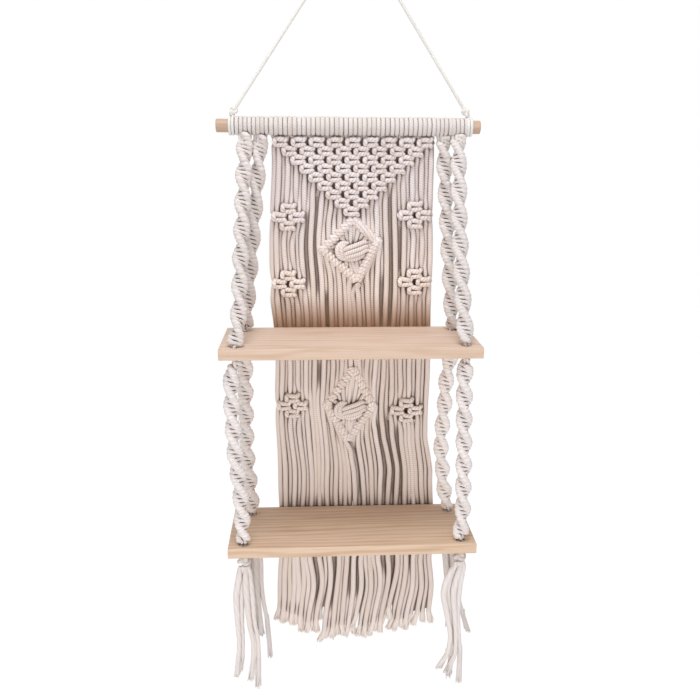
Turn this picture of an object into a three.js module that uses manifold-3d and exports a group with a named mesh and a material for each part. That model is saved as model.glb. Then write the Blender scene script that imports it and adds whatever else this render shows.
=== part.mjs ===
// Hanging rope shelf: two drilled boards hung on knotted cotton ropes from a wooden dowel,
// with a knotted cord panel behind them and a cord hanger above.
// Millimetres, +Z up, the front faces -Y and the wall is on the +Y side.
// The shelf is laid out about the middle of the upper board's top face, and the last lines
// move it so that the point where the hanger cord lies on its hook is the origin.
import * as THREE from 'three';
import { mergeVertices } from 'three/addons/utils/BufferGeometryUtils.js';
import Module from 'manifold-3d';

const wasm = await Module();
wasm.setup();

// Clearances
const seatGap = 0.3;

// Boards
const boardWidth = 350;
const boardDepth = 130;
const boardThick = 15;
const boardEase = 0.8;
const shelfSpacing = 286;
const holeRadius = 6.2;
const holeSideInset = { front_left: 21, front_right: 21, rear_left: 28, rear_right: 23 };
const holeEdgeInset = { front: 14, rear: 21.5 };

// Dowel and the cord wrapped round it
const dowelRadius = 9;
const dowelLength = 365;
const dowelChamfer = 1;
const dowelShift = 1.5;
const dowelHeight = 283.6;
const dowelBack = 1;
const wrapThick = 3.6;
const wrapGroove = 1.5;
const panelLoopPitch = 6.28;
const panelShift = 5.5;
const sinnetLoopPitch = 5.4;
const loopsPerSinnet = 4;
const loopGap = { left_inner: 3.9, left_outer: 1.5, right_inner: 2, right_outer: 0.5 };

// Hanger cord and its two knots
const hangerRadius = 1.75;
const hookHeight = 255.6;
const hookShift = 4.9;
const hookBend = 18;
const hangerLoopGap = { left: 5.3, right: 2.9 };
const hangerKnotRise = { left: 14, right: 15 };
const hangerKnotLean = { left: 6, right: -8 };
const hangerKnotWidth = 11;
const hangerKnotHeight = 15;
const hangerKnotShares = [-0.94, -0.5, 0.5, 0.94];
const hookBendShares = [1 / 6, 1 / 3, 1 / 2, 2 / 3, 5 / 6];

// Knotted ropes, called sinnets, that carry the boards
const sinnetWide = 9.6;
const sinnetNarrow = 6.4;
const sinnetHalfTurn = 36;
const sinnetTaper = 20;
const neckRadius = 5.5;
const neckRise = 4;
const slackBow = 17;
const slackPlaceShare = 0.6;
const ballShares = [1 / 6, 1 / 2, 5 / 6];

// Panel of knotted cords
const panelCords = 36;
const strandRadius = 2.6;
const panelBoardGap = 0.6;
const knotRow = 12;
const knotWidth = 22;
const knotHeight = 12.3;
const knotDepth = 9.6;
const knotCords = 4;
const firstRowDrop = 19.4;
const panelLength = 810.6;
const fringeArch = 34;
const fringeStep = 3;
const flareRadius = 2.9;
const flareLength = 16;
const levelMargin = 12;
// Shares of a knot's half depth and half height round it, then of its half width along it
const knotSectionShares = [[-0.5, 1], [-1, 0.5], [-0.76, 0], [-1, -0.5], [-0.5, -1], [0.92, 0]];
const knotWidthShares = [[-1, 0.5], [-0.72, 1], [0.72, 1], [1, 0.5]];

// How the panel widens and drifts to the right on its way down: the drop is a share of its
// length, the middle and the width are shares of its width at the upper board.
const panelWidth = 232;
const panelLevelShares = [
  { drop: 0.016, middle: 0.03, width: 0.974 },
  { drop: 0.122, middle: 0.03, width: 1 },
  { drop: 0.432, middle: 0.043, width: 1.004 },
  { drop: 0.691, middle: 0.069, width: 1.039 },
  { drop: 0.987, middle: 0.073, width: 1.073 },
];
const flowerCords = 8;
const flowerDropShares = {
  left: [0.153, 0.2714, 0.5015],
  right: [0.1493, 0.269, 0.5113],
};
const diamonds = {
  upper: { middle: 4.5, drop: 174.5, halfWidth: 43, halfHeight: 49 },
  lower: { middle: 6, drop: 404, halfWidth: 41, halfHeight: 60 },
};
const diamondFirst = 12;
const diamondLast = 23;
const ridgeRadius = 4.6;
const bandWidth = 36;
const bandHeight = 14;
const bandDepth = 10.5;
const bandShares = [[-1, 0.4], [-0.7, 1], [0.7, 1], [1, 0.4]];
const fanPairs = 6;
const fanPitch = 5;
const gatherLength = 24;
const cornerGap = 2;

// Stopper knots and tassels below the lower board
const stopperRadius = 9;
const stopperHeight = 16;
// Shares of the stopper's height below the board and of its radius
const stopperShares = [[0, 0.75], [0.3, 1], [0.7, 1], [1, 0.7]];
const tasselCordRadius = 2.7;
const tasselLength = 190;
const tasselSteps = 3;
// Each tassel's bow to the side, and how far its four cords reach aside and down, all as
// shares of the tassel's length
const tasselShares = {
  front_left: { bow: -0.068, ends: [[-0.08, 0.93], [-0.04, 0.905], [0.047, 0.99], [0.095, 1.058]] },
  front_right: { bow: -0.074, ends: [[-0.09, 0.953], [-0.042, 1], [0, 1.037], [0.068, 1.09]] },
  rear_left: { bow: 0.016, ends: [[-0.047, 0.98], [0.01, 1.03], [0.053, 1], [0.13, 1.08]] },
  rear_right: { bow: 0.01, ends: [[-0.053, 1], [-0.016, 1.05], [0.042, 1.01], [0.147, 0.947]] },
};
// A tassel cord bulges near its head and bends again at its knee
const tasselBulgeShare = 0.25;
const tasselKneeShares = { aside: 0.7, down: 0.66 };
const tasselSpread = 4.3;

// Facets
const ropeSides = 6;
const strandSides = 5;
const knotSides = 8;
const roundSides = 12;
const wrapSides = 10;
const ringSteps = 12;
const dowelSides = 24;
const turnsPerRing = 1 / 6;

// Colours and finishes
const pine = new THREE.MeshStandardMaterial({ color: 0xe0bd93, roughness: 0.6, metalness: 0 });
const dowelWood = new THREE.MeshStandardMaterial({ color: 0xcfae8b, roughness: 0.6, metalness: 0 });
const cotton = new THREE.MeshStandardMaterial({ color: 0xe6dfdb, roughness: 0.95, metalness: 0 });
const shadedCotton = new THREE.MeshStandardMaterial({ color: 0xdccbc1, roughness: 0.95, metalness: 0 });

const shelf = new THREE.Group();

function add(name, geometry, material, parent = shelf) {
  const mesh = new THREE.Mesh(geometry, material);
  mesh.name = name;
  parent.add(mesh);
  return mesh;
}

// Geometry helpers

function toSolid(geometry) {
  const bare = geometry.clone();
  bare.deleteAttribute('normal');
  bare.deleteAttribute('uv');
  const merged = mergeVertices(bare);
  return new wasm.Manifold(new wasm.Mesh({
    numProp: 3,
    vertProperties: new Float32Array(merged.attributes.position.array),
    triVerts: new Uint32Array(merged.index.array),
  }));
}

function toGeometry(solid) {
  const mesh = solid.getMesh();
  const geometry = new THREE.BufferGeometry();
  geometry.setAttribute('position', new THREE.BufferAttribute(mesh.vertProperties, 3));
  geometry.setIndex(new THREE.BufferAttribute(mesh.triVerts, 1));
  geometry.computeVertexNormals();
  return geometry;
}

function join(geometries) {
  const solids = geometries.map(toSolid);
  return toGeometry(solids.reduce((whole, piece) => whole.add(piece)));
}

// A closed solid through rings of points, each ring with the same number of points.
function loft(rings) {
  const sides = rings[0].length;
  const positions = rings.flat().flatMap((p) => [p.x, p.y, p.z]);
  const index = [];
  for (let r = 0; r + 1 < rings.length; r += 1) {
    for (let s = 0; s < sides; s += 1) {
      const a = r * sides + s;
      const b = r * sides + ((s + 1) % sides);
      index.push(a, b, b + sides, a, b + sides, a + sides);
    }
  }
  const last = (rings.length - 1) * sides;
  for (let s = 1; s + 1 < sides; s += 1) {
    index.push(0, s + 1, s);
    index.push(last, last + s, last + s + 1);
  }
  if (signedVolume(positions, index) < 0) {
    index.reverse();
  }
  const geometry = new THREE.BufferGeometry();
  geometry.setAttribute('position', new THREE.Float32BufferAttribute(positions, 3));
  geometry.setIndex(index);
  geometry.computeVertexNormals();
  return geometry;
}

function signedVolume(positions, index) {
  const at = (i) => new THREE.Vector3(...positions.slice(3 * i, 3 * i + 3));
  let sum = 0;
  for (let t = 0; t < index.length; t += 3) {
    sum += at(index[t]).dot(at(index[t + 1]).cross(at(index[t + 2])));
  }
  return sum;
}

function vector(x, y, z) {
  return new THREE.Vector3(x, y, z);
}

function polygon(radius, sides) {
  const points = [];
  for (let s = 0; s < sides; s += 1) {
    const angle = (2 * Math.PI * s) / sides;
    points.push(new THREE.Vector2(radius * Math.cos(angle), radius * Math.sin(angle)));
  }
  return new THREE.Shape(points);
}

// A rope of one size along a smooth curve through the points.
function rope(points, radius, steps, sides = ropeSides) {
  return new THREE.ExtrudeGeometry(polygon(radius, sides), {
    steps,
    extrudePath: new THREE.CatmullRomCurve3(points),
    bevelEnabled: false,
  });
}

// One ring of points across a path, wide along one turned direction and narrow across it.
function ringAcross(centre, along, wide, narrow, turn, sides) {
  const level = Math.abs(along.x) < 1 ? vector(1, 0, 0) : vector(0, 1, 0);
  const side = level.addScaledVector(along, -along.dot(level)).normalize();
  const out = side.clone().cross(along).normalize();
  const points = [];
  for (let s = 0; s < sides; s += 1) {
    const angle = (2 * Math.PI * s) / sides;
    const u = wide * Math.cos(angle);
    const v = narrow * Math.sin(angle);
    const a = u * Math.cos(turn) - v * Math.sin(turn);
    const b = u * Math.sin(turn) + v * Math.cos(turn);
    points.push(centre.clone().addScaledVector(side, a).addScaledVector(out, b));
  }
  return points;
}

// Places that the pieces share

const dowelY = boardDepth / 2 + dowelBack;
const panelY = boardDepth / 2 + panelBoardGap + strandRadius;
const wrapRadius = dowelRadius + wrapThick;
const upperTop = 0;
const lowerTop = -shelfSpacing;

function holePlace(corner) {
  const x = boardWidth / 2 - holeSideInset[corner];
  const y = corner.startsWith('front')
    ? holeEdgeInset.front - boardDepth / 2
    : boardDepth / 2 - holeEdgeInset.rear;
  return { x: corner.endsWith('left') ? -x : x, y };
}

const corners = ['front_left', 'front_right', 'rear_left', 'rear_right'];

const loopWidth = loopsPerSinnet * sinnetLoopPitch;
const panelLoopWidth = panelCords * panelLoopPitch;
const panelMiddle = dowelShift + panelShift;
const loopMiddle = {};
loopMiddle.left_inner = panelMiddle - panelLoopWidth / 2 - loopGap.left_inner - loopWidth / 2;
loopMiddle.left_outer = loopMiddle.left_inner - loopWidth - loopGap.left_outer;
loopMiddle.right_inner = panelMiddle + panelLoopWidth / 2 + loopGap.right_inner + loopWidth / 2;
loopMiddle.right_outer = loopMiddle.right_inner + loopWidth + loopGap.right_outer;

// The outer loops carry the front ropes and the inner loops the rear ones.
const mountOf = {
  front_left: 'left_outer',
  front_right: 'right_outer',
  rear_left: 'left_inner',
  rear_right: 'right_inner',
};

// Boards

function board(top) {
  const w = boardWidth / 2;
  const d = boardDepth / 2;
  const outline = new THREE.Shape();
  outline.moveTo(-w, -d);
  outline.lineTo(w, -d);
  outline.lineTo(w, d);
  outline.lineTo(-w, d);
  for (const corner of corners) {
    const place = holePlace(corner);
    const hole = new THREE.Path();
    hole.absarc(place.x, place.y, holeRadius, 0, 2 * Math.PI, true);
    outline.holes.push(hole);
  }
  const geometry = new THREE.ExtrudeGeometry(outline, {
    depth: boardThick - 2 * boardEase,
    bevelEnabled: true,
    bevelThickness: boardEase,
    bevelSize: boardEase,
    bevelOffset: -boardEase,
    bevelSegments: 1,
    curveSegments: roundSides / 2,
  });
  geometry.translate(0, 0, top - boardThick + boardEase);
  return geometry;
}

add('upper_shelf', board(upperTop), pine);
add('lower_shelf', board(lowerTop), pine);

// Dowel

function alongX(profile, sides) {
  const geometry = new THREE.LatheGeometry(profile, sides);
  geometry.rotateZ(-Math.PI / 2);
  return geometry;
}

function dowel() {
  const half = dowelLength / 2;
  const profile = [
    new THREE.Vector2(0, -half),
    new THREE.Vector2(dowelRadius - dowelChamfer, -half),
    new THREE.Vector2(dowelRadius, -half + dowelChamfer),
    new THREE.Vector2(dowelRadius, half - dowelChamfer),
    new THREE.Vector2(dowelRadius - dowelChamfer, half),
    new THREE.Vector2(0, half),
  ];
  const geometry = alongX(profile, dowelSides);
  geometry.translate(dowelShift, dowelY, dowelHeight);
  return geometry;
}

add('dowel', dowel(), dowelWood);

// Cord loops side by side round the dowel, joined into one ribbed sleeve.
function loops(middle, count, pitch) {
  const width = count * pitch;
  const bore = (dowelRadius + seatGap) / Math.cos(Math.PI / wrapSides);
  const profile = [new THREE.Vector2(bore, -width / 2)];
  for (let loop = 0; loop < count; loop += 1) {
    const start = -width / 2 + loop * pitch;
    profile.push(new THREE.Vector2(wrapRadius - wrapGroove, start));
    profile.push(new THREE.Vector2(wrapRadius, start + pitch / 2));
  }
  profile.push(new THREE.Vector2(wrapRadius - wrapGroove, width / 2));
  profile.push(new THREE.Vector2(bore, width / 2));
  profile.push(profile[0].clone());
  const geometry = alongX(profile, wrapSides);
  geometry.translate(middle, dowelY, dowelHeight);
  return geometry;
}

add('panel_loops', loops(panelMiddle, panelCords, panelLoopPitch), cotton);
for (const place of Object.keys(loopMiddle)) {
  add(`rope_loops_${place}`, loops(loopMiddle[place], loopsPerSinnet, sinnetLoopPitch), cotton);
}

// Hanger: a loop round each end of the dowel, a knot above it and one cord over the hook

const hookX = dowelShift + hookShift;
const hookZ = dowelHeight + hookHeight;
const loopX = {
  left: loopMiddle.left_outer - loopWidth / 2 - hangerLoopGap.left,
  right: loopMiddle.right_outer + loopWidth / 2 + hangerLoopGap.right,
};

function knotCentre(side) {
  return vector(
    loopX[side] + hangerKnotLean[side],
    dowelY,
    dowelHeight + dowelRadius + hangerKnotRise[side],
  );
}

function hangerKnot(side) {
  const ringRadius = dowelRadius + seatGap + hangerRadius / Math.cos(Math.PI / ropeSides);
  const ring = new THREE.TorusGeometry(ringRadius, hangerRadius, ropeSides, ringSteps);
  ring.rotateY(Math.PI / 2);
  ring.translate(loopX[side], dowelY, dowelHeight);
  const centre = knotCentre(side);
  const crown = vector(loopX[side], dowelY, dowelHeight + ringRadius);
  const towards = hookDirection(side);
  const knotRings = [];
  for (const share of hangerKnotShares) {
    const at = centre.clone().addScaledVector(towards, (share * hangerKnotHeight) / 2);
    const size = (hangerKnotWidth / 2) * Math.sqrt(1 - share * share);
    knotRings.push(ringAcross(at, towards, size, size, 0, knotSides));
  }
  const legs = rope([crown, centre.clone().lerp(crown, 1 / 2), centre], hangerRadius + seatGap, 1);
  return join([ring, legs, loft(knotRings)]);
}

function hookDirection(side) {
  const hook = vector(hookX, dowelY, hookZ);
  return hook.sub(knotCentre(side)).normalize();
}

for (const side of ['left', 'right']) {
  add(`hanger_knot_${side}`, hangerKnot(side), cotton);
}

// The cord runs straight from knot to knot and turns over the hook on a small arc.
function hangerCord() {
  const apex = vector(hookX, dowelY, hookZ);
  const path = new THREE.CurvePath();
  const ends = {};
  for (const side of ['left', 'right']) {
    const from = hangerKnotHeight / 2 + seatGap;
    ends[side] = knotCentre(side).addScaledVector(hookDirection(side), from);
  }
  const before = apex.clone().addScaledVector(hookDirection('left'), -hookBend);
  const after = apex.clone().addScaledVector(hookDirection('right'), -hookBend);
  path.add(new THREE.LineCurve3(ends.left, before));
  path.add(new THREE.QuadraticBezierCurve3(before, apex, after));
  path.add(new THREE.LineCurve3(after, ends.right));
  const middle = path.curves[1];
  const points = [ends.left, ends.left.clone().lerp(before, 1 / 2), before];
  for (const share of hookBendShares) {
    points.push(middle.getPoint(share));
  }
  points.push(after, after.clone().lerp(ends.right, 1 / 2), ends.right);
  const rings = points.map((point, i) => {
    const behind = points[Math.max(i - 1, 0)];
    const ahead = points[Math.min(i + 1, points.length - 1)];
    const along = ahead.clone().sub(behind).normalize();
    const out = vector(0, 1, 0);
    const up = out.clone().cross(along).normalize();
    const ring = [];
    for (let s = 0; s < 2 * ropeSides; s += 1) {
      const angle = (Math.PI * s) / ropeSides;
      ring.push(point.clone()
        .addScaledVector(out, hangerRadius * Math.cos(angle))
        .addScaledVector(up, hangerRadius * Math.sin(angle)));
    }
    return ring;
  });
  return { geometry: loft(rings), crown: middle.getPoint(0.5) };
}

const cord = hangerCord();
add('hanger_cord', cord.geometry, cotton);

// Ropes that carry the boards: a flat two-cord section that turns steadily along the path,
// as a row of half knots does, drawn in to a round neck where it passes a board.

function sinnet(points, ends) {
  const path = new THREE.CatmullRomCurve3(points);
  const length = path.getLength();
  const stations = [];
  const step = 2 * sinnetHalfTurn * turnsPerRing;
  const count = Math.max(2, Math.round(length / step));
  for (let i = 0; i <= count; i += 1) {
    stations.push((i * length) / count);
  }
  const rings = [];
  for (const run of stations) {
    const share = run / length;
    const fromStart = ends.start === 'wide' ? 1 : Math.min(run / sinnetTaper, 1);
    const fromEnd = ends.end === 'wide' ? 1 : Math.min((length - run) / sinnetTaper, 1);
    const swell = Math.sin((Math.min(fromStart, fromEnd) * Math.PI) / 2);
    const wide = neckRadius + (sinnetWide - neckRadius) * swell;
    const narrow = neckRadius + (sinnetNarrow - neckRadius) * swell;
    const turn = (Math.PI * run) / sinnetHalfTurn;
    rings.push(ringAcross(path.getPointAt(share), path.getTangentAt(share), wide, narrow, turn,
      ropeSides));
  }
  return rings;
}

// Rings of a half ball of the neck's radius about a centre, from its pole to its rim or back.
function ballEnd(centre, up, turn) {
  const rings = [];
  for (const share of ballShares) {
    const angle = (share * Math.PI) / 2;
    const at = centre.clone().addScaledVector(up, neckRadius * Math.cos(angle));
    const size = neckRadius * Math.sin(angle);
    rings.push(ringAcross(at, vector(0, 0, -1), size, size, turn, ropeSides));
  }
  return rings;
}

function upperRope(corner) {
  const hole = holePlace(corner);
  const mount = vector(loopMiddle[mountOf[corner]], dowelY, dowelHeight);
  const entry = vector(hole.x, hole.y, upperTop + neckRise);
  const direction = entry.clone().sub(mount);
  direction.x = 0;
  direction.normalize();
  const start = mount.clone().addScaledVector(direction, wrapRadius + seatGap);
  const quarter = start.clone().lerp(entry, 1 / 4);
  const middle = start.clone().lerp(entry, 1 / 2);
  const late = start.clone().lerp(entry, 3 / 4);
  const rings = sinnet([start, quarter, middle, late, entry], { start: 'wide', end: 'neck' });
  const flatTop = rings[0];
  const plane = start.clone();
  for (const point of flatTop) {
    point.addScaledVector(direction, -point.clone().sub(plane).dot(direction));
  }
  const turn = (Math.PI * start.distanceTo(entry)) / sinnetHalfTurn;
  for (const z of [upperTop, upperTop - boardThick]) {
    rings.push(ringAcross(vector(hole.x, hole.y, z), vector(0, 0, -1), neckRadius, neckRadius,
      turn, ropeSides));
  }
  return loft(rings);
}

for (const corner of corners) {
  add(`upper_rope_${corner}`, upperRope(corner), cotton);
}

// Each lower rope turns at both ends on a ball centred just clear of the board there.
const lowerPivotTop = upperTop - boardThick - seatGap - neckRadius;
const lowerPivotBottom = lowerTop + seatGap + neckRadius;

function lowerRope(corner) {
  const hole = holePlace(corner);
  const top = vector(hole.x, hole.y, lowerPivotTop);
  const bottom = vector(hole.x, hole.y, lowerPivotBottom);
  const middle = top.clone().lerp(bottom, slackPlaceShare);
  if (corner === 'rear_right') {
    middle.x -= slackBow;
  }
  const points = [top, top.clone().lerp(middle, 1 / 2), middle, middle.clone().lerp(bottom, 1 / 2),
    bottom];
  const body = sinnet(points, { start: 'neck', end: 'neck' });
  const up = vector(0, 0, 1);
  const lastTurn = (Math.PI * top.distanceTo(bottom)) / sinnetHalfTurn;
  const rings = [
    ...ballEnd(top, up, 0),
    ...body,
    ...ballEnd(bottom, up.clone().negate(), lastTurn).reverse(),
  ];
  return loft(rings);
}

for (const corner of corners) {
  add(`lower_rope_${corner}`, lowerRope(corner), cotton);
}

// Panel: strands, square knots, diamonds of hitched ridges and a fringe

const panelLevels = panelLevelShares.map((shares) => ({
  drop: shares.drop * panelLength,
  middle: shares.middle * panelWidth,
  width: shares.width * panelWidth,
}));

function levelAt(drop) {
  let i = 0;
  while (i + 2 < panelLevels.length && drop > panelLevels[i + 1].drop) {
    i += 1;
  }
  const a = panelLevels[i];
  const b = panelLevels[i + 1];
  const share = THREE.MathUtils.clamp((drop - a.drop) / (b.drop - a.drop), 0, 1);
  return {
    middle: a.middle + share * (b.middle - a.middle),
    width: a.width + share * (b.width - a.width),
  };
}

function evenX(index, drop) {
  const level = levelAt(drop);
  const pitch = (level.width - 2 * strandRadius) / (panelCords - 1);
  return level.middle + (index - (panelCords - 1) / 2) * pitch;
}

// The strands beside a diamond lie closer together, so that its corner has room.
function strandX(index, drop) {
  let x = evenX(index, drop);
  for (const diamond of Object.values(diamonds)) {
    const near = Math.max(0, 1 - Math.abs(drop - diamond.drop) / diamond.halfHeight);
    const room = diamond.halfWidth + cornerGap + strandRadius;
    const push = {
      left: Math.min(0, diamond.middle - room - evenX(diamondFirst - 1, diamond.drop)),
      right: Math.max(0, diamond.middle + room - evenX(diamondLast + 1, diamond.drop)),
    };
    if (index < diamondFirst) {
      x += (near * push.left * index) / (diamondFirst - 1);
    } else if (index > diamondLast) {
      x += (near * push.right * (panelCords - 1 - index)) / (diamondFirst - 1);
    }
  }
  return x;
}

function strandPoint(strand, drop) {
  return vector(strandX(strand, drop), panelY, dowelHeight - drop);
}

// The drops between two ends at which a strand bends, none of them close to another.
function bends(fromDrop, toDrop) {
  const turns = panelLevels.map((level) => level.drop);
  for (const { drop, halfHeight } of Object.values(diamonds)) {
    turns.push(drop - halfHeight, drop, drop + halfHeight);
  }
  const drops = [fromDrop];
  for (const drop of turns.sort((a, b) => a - b)) {
    if (drop > drops[drops.length - 1] + levelMargin && drop < toDrop - levelMargin) {
      drops.push(drop);
    }
  }
  return drops;
}

// A strand that follows the panel's levels, with its rings cut level.
function strand(index, fromDrop, toDrop, tipRadius = strandRadius) {
  const drops = bends(fromDrop, toDrop);
  const flared = tipRadius > strandRadius;
  if (flared) {
    drops.push(toDrop - flareLength);
  }
  drops.push(toDrop);
  return loft(drops.map((drop, i) => {
    const radius = flared && i + 1 === drops.length ? tipRadius : strandRadius;
    return levelRing(strandPoint(index, drop), radius);
  }));
}

function levelRing(centre, radius) {
  return ringAcross(centre, vector(0, 0, -1), radius, radius, Math.PI / 2, strandSides);
}

function levelRope(points) {
  return loft(points.map((point) => levelRing(point, strandRadius)));
}

// A square knot: a pillow wider than it is tall, with a waist between its two half knots.
function squareKnot(x, drop) {
  return loft(knotWidthShares.map(([along, size]) => knotSectionShares.map(([out, up]) => vector(
    x + (along * knotWidth) / 2,
    panelY + (size * out * knotDepth) / 2,
    dowelHeight - drop + (size * up * knotHeight) / 2,
  ))));
}

function knotOver(firstStrand, drop) {
  return squareKnot(strandX(firstStrand + (knotCords - 1) / 2, drop), drop);
}

const knotBite = knotHeight / 4;
const rowShift = knotCords / 2;
const lastRow = panelCords / knotCords - 1;

function rowDrop(row) {
  return firstRowDrop + row * knotRow;
}

// The lowest knot row of the triangle that a strand passes through.
function strandRow(index) {
  return Math.floor(Math.min(index, panelCords - 1 - index) / rowShift);
}

function triangleEdge(index) {
  return rowDrop(Math.min(strandRow(index), lastRow));
}

function isDiamondStrand(index) {
  return index >= diamondFirst && index <= diamondLast;
}

function isFlowerStrand(index) {
  return index < flowerCords || index >= panelCords - flowerCords;
}

// The fringe is longest in the middle, and neighbouring cords end at uneven heights.
function fringeDrop(index) {
  const side = (2 * index) / (panelCords - 1) - 1;
  const uneven = (index * 3) % 4;
  return panelLength - fringeArch * side * side - fringeStep * uneven;
}

function hangingStrand(index, fromDrop) {
  return strand(index, fromDrop, fringeDrop(index), flareRadius);
}

// The place where a strand of a diamond meets the middle line of its upper or lower ridge.
function ridgePoint(diamond, index, below) {
  const middle = (diamondFirst + diamondLast) / 2;
  const reach = (diamondLast - diamondFirst) / 2 + 1;
  const side = (index - middle) / reach;
  const rise = (1 - Math.abs(side)) * (diamond.halfHeight - ridgeRadius);
  return vector(
    diamond.middle + side * (diamond.halfWidth - ridgeRadius),
    panelY,
    dowelHeight - diamond.drop + (below ? -rise : rise),
  );
}

// How far above a ridge's middle line a strand ends so that its square end clears the ridge,
// whose flats face up.
function ridgeReach(diamond) {
  const slope = Math.atan2(diamond.halfHeight - ridgeRadius, diamond.halfWidth - ridgeRadius);
  const flat = ridgeRadius * Math.cos(Math.PI / ropeSides);
  const halfStrand = strandRadius * Math.sin((2 * Math.PI) / strandSides);
  return (flat + seatGap + halfStrand * Math.sin(slope)) / Math.cos(slope);
}

function aboveRidge(diamond, index) {
  return ridgePoint(diamond, index, false).add(vector(0, 0, ridgeReach(diamond)));
}

// One side of a diamond: a bar of hitches from its corner to its tip.
function ridge(diamond, toRight, below) {
  const corner = vector(
    diamond.middle + (toRight ? 1 : -1) * (diamond.halfWidth - ridgeRadius),
    panelY,
    dowelHeight - diamond.drop,
  );
  const tipRise = (below ? -1 : 1) * (diamond.halfHeight - ridgeRadius);
  const tip = vector(diamond.middle, panelY, dowelHeight - diamond.drop + tipRise);
  return rope([corner, tip], ridgeRadius, 1);
}

function diamondSolids(diamond) {
  const solids = [];
  for (const below of [false, true]) {
    for (const toRight of [false, true]) {
      solids.push(ridge(diamond, toRight, below));
    }
    for (let pair = 0; pair < fanPairs; pair += 1) {
      const index = diamondFirst + 2 * pair + 1 / 2;
      const outer = ridgePoint(diamond, index, below);
      const offset = (pair - (fanPairs - 1) / 2) * fanPitch;
      const inner = vector(diamond.middle + offset, panelY, dowelHeight - diamond.drop);
      solids.push(rope([outer, inner], strandRadius, 1, strandSides));
    }
  }
  const band = [];
  for (const [along, size] of bandShares) {
    const x = diamond.middle + (along * bandWidth) / 2;
    const at = vector(x, panelY, dowelHeight - diamond.drop);
    const wide = (size * bandDepth) / 2;
    const tall = (size * bandHeight) / 2;
    band.push(ringAcross(at, vector(1, 0, 0), wide, tall, 0, knotSides));
  }
  solids.push(loft(band));
  return solids;
}

function triangle() {
  const solids = [];
  for (let row = 0; row <= lastRow; row += 1) {
    const lastFirst = panelCords - rowShift * row - knotCords;
    for (let first = rowShift * row; first <= lastFirst; first += knotCords) {
      solids.push(knotOver(first, rowDrop(row)));
    }
  }
  for (let index = 0; index < panelCords; index += 1) {
    if (isDiamondStrand(index)) {
      const start = strandPoint(index, triangleEdge(index) + knotBite);
      const end = aboveRidge(diamonds.upper, index);
      if (end.z < start.z - knotHeight / 2) {
        solids.push(levelRope([start, end]));
      }
    } else if (!isFlowerStrand(index)) {
      solids.push(hangingStrand(index, triangleEdge(index) + knotBite));
    }
  }
  return join(solids);
}

add('knot_triangle', triangle(), shadedCotton);

// Four square knots, one above two above one, and the strands that run on below them.
function flower(side, number) {
  const drops = flowerDropShares[side].map((share) => share * panelLength);
  const drop = drops[number];
  const first = side === 'left' ? 0 : panelCords - flowerCords;
  const solids = [
    knotOver(first + rowShift, drop - knotRow),
    knotOver(first, drop),
    knotOver(first + knotCords, drop),
    knotOver(first + rowShift, drop + knotRow),
  ];
  for (let i = 0; i < flowerCords; i += 1) {
    const index = first + i;
    const inner = i >= rowShift && i < rowShift + knotCords;
    const reach = inner ? knotRow : 0;
    const clear = knotHeight / 2 + seatGap;
    if (number === 0) {
      solids.push(strand(index, triangleEdge(index) + clear, drop - reach - knotBite));
    }
    if (number + 1 < drops.length) {
      solids.push(strand(index, drop + reach + knotBite, drops[number + 1] - reach - clear));
    } else {
      solids.push(hangingStrand(index, drop + reach + knotBite));
    }
  }
  return join(solids);
}

for (const side of ['left', 'right']) {
  ['upper', 'middle', 'lower'].forEach((height, number) => {
    add(`${side}_flower_${height}`, flower(side, number), shadedCotton);
  });
}

function upperDiamond() {
  const solids = diamondSolids(diamonds.upper);
  for (let index = diamondFirst; index <= diamondLast; index += 1) {
    const start = ridgePoint(diamonds.upper, index, true);
    const end = aboveRidge(diamonds.lower, index);
    const turn = strandPoint(index, (dowelHeight - start.z) + gatherLength);
    const settle = strandPoint(index, (dowelHeight - end.z) - gatherLength);
    const points = settle.z < turn.z - gatherLength ? [start, turn, settle, end] : [start, end];
    solids.push(levelRope(points));
  }
  return join(solids);
}

function lowerDiamond() {
  const solids = diamondSolids(diamonds.lower);
  for (let index = diamondFirst; index <= diamondLast; index += 1) {
    const start = ridgePoint(diamonds.lower, index, true);
    const gathered = dowelHeight - start.z + gatherLength;
    const bottom = fringeDrop(index);
    const drops = [...bends(gathered, bottom - flareLength), bottom - flareLength];
    const rings = [levelRing(start, strandRadius)];
    for (const drop of drops) {
      rings.push(levelRing(strandPoint(index, drop), strandRadius));
    }
    rings.push(levelRing(strandPoint(index, bottom), flareRadius));
    solids.push(loft(rings));
  }
  return join(solids);
}

add('upper_diamond', upperDiamond(), shadedCotton);
add('lower_diamond', lowerDiamond(), shadedCotton);

// Stopper knot under each hole of the lower board, with the rope's neck in the hole above it
function stopper(corner) {
  const hole = holePlace(corner);
  const under = lowerTop - boardThick - seatGap;
  const profile = [[lowerTop, neckRadius], [under, neckRadius]];
  for (const [down, out] of stopperShares) {
    profile.push([under - stopperHeight * down, stopperRadius * out]);
  }
  return loft(profile.map(([z, radius]) => ringAcross(vector(hole.x, hole.y, z),
    vector(0, 0, -1), radius, radius, 0, roundSides)));
}

// A tassel hangs from a ball under its stopper knot and ends in four loose cords.
const tasselPivot = lowerTop - boardThick - 2 * seatGap - stopperHeight - neckRadius;

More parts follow.
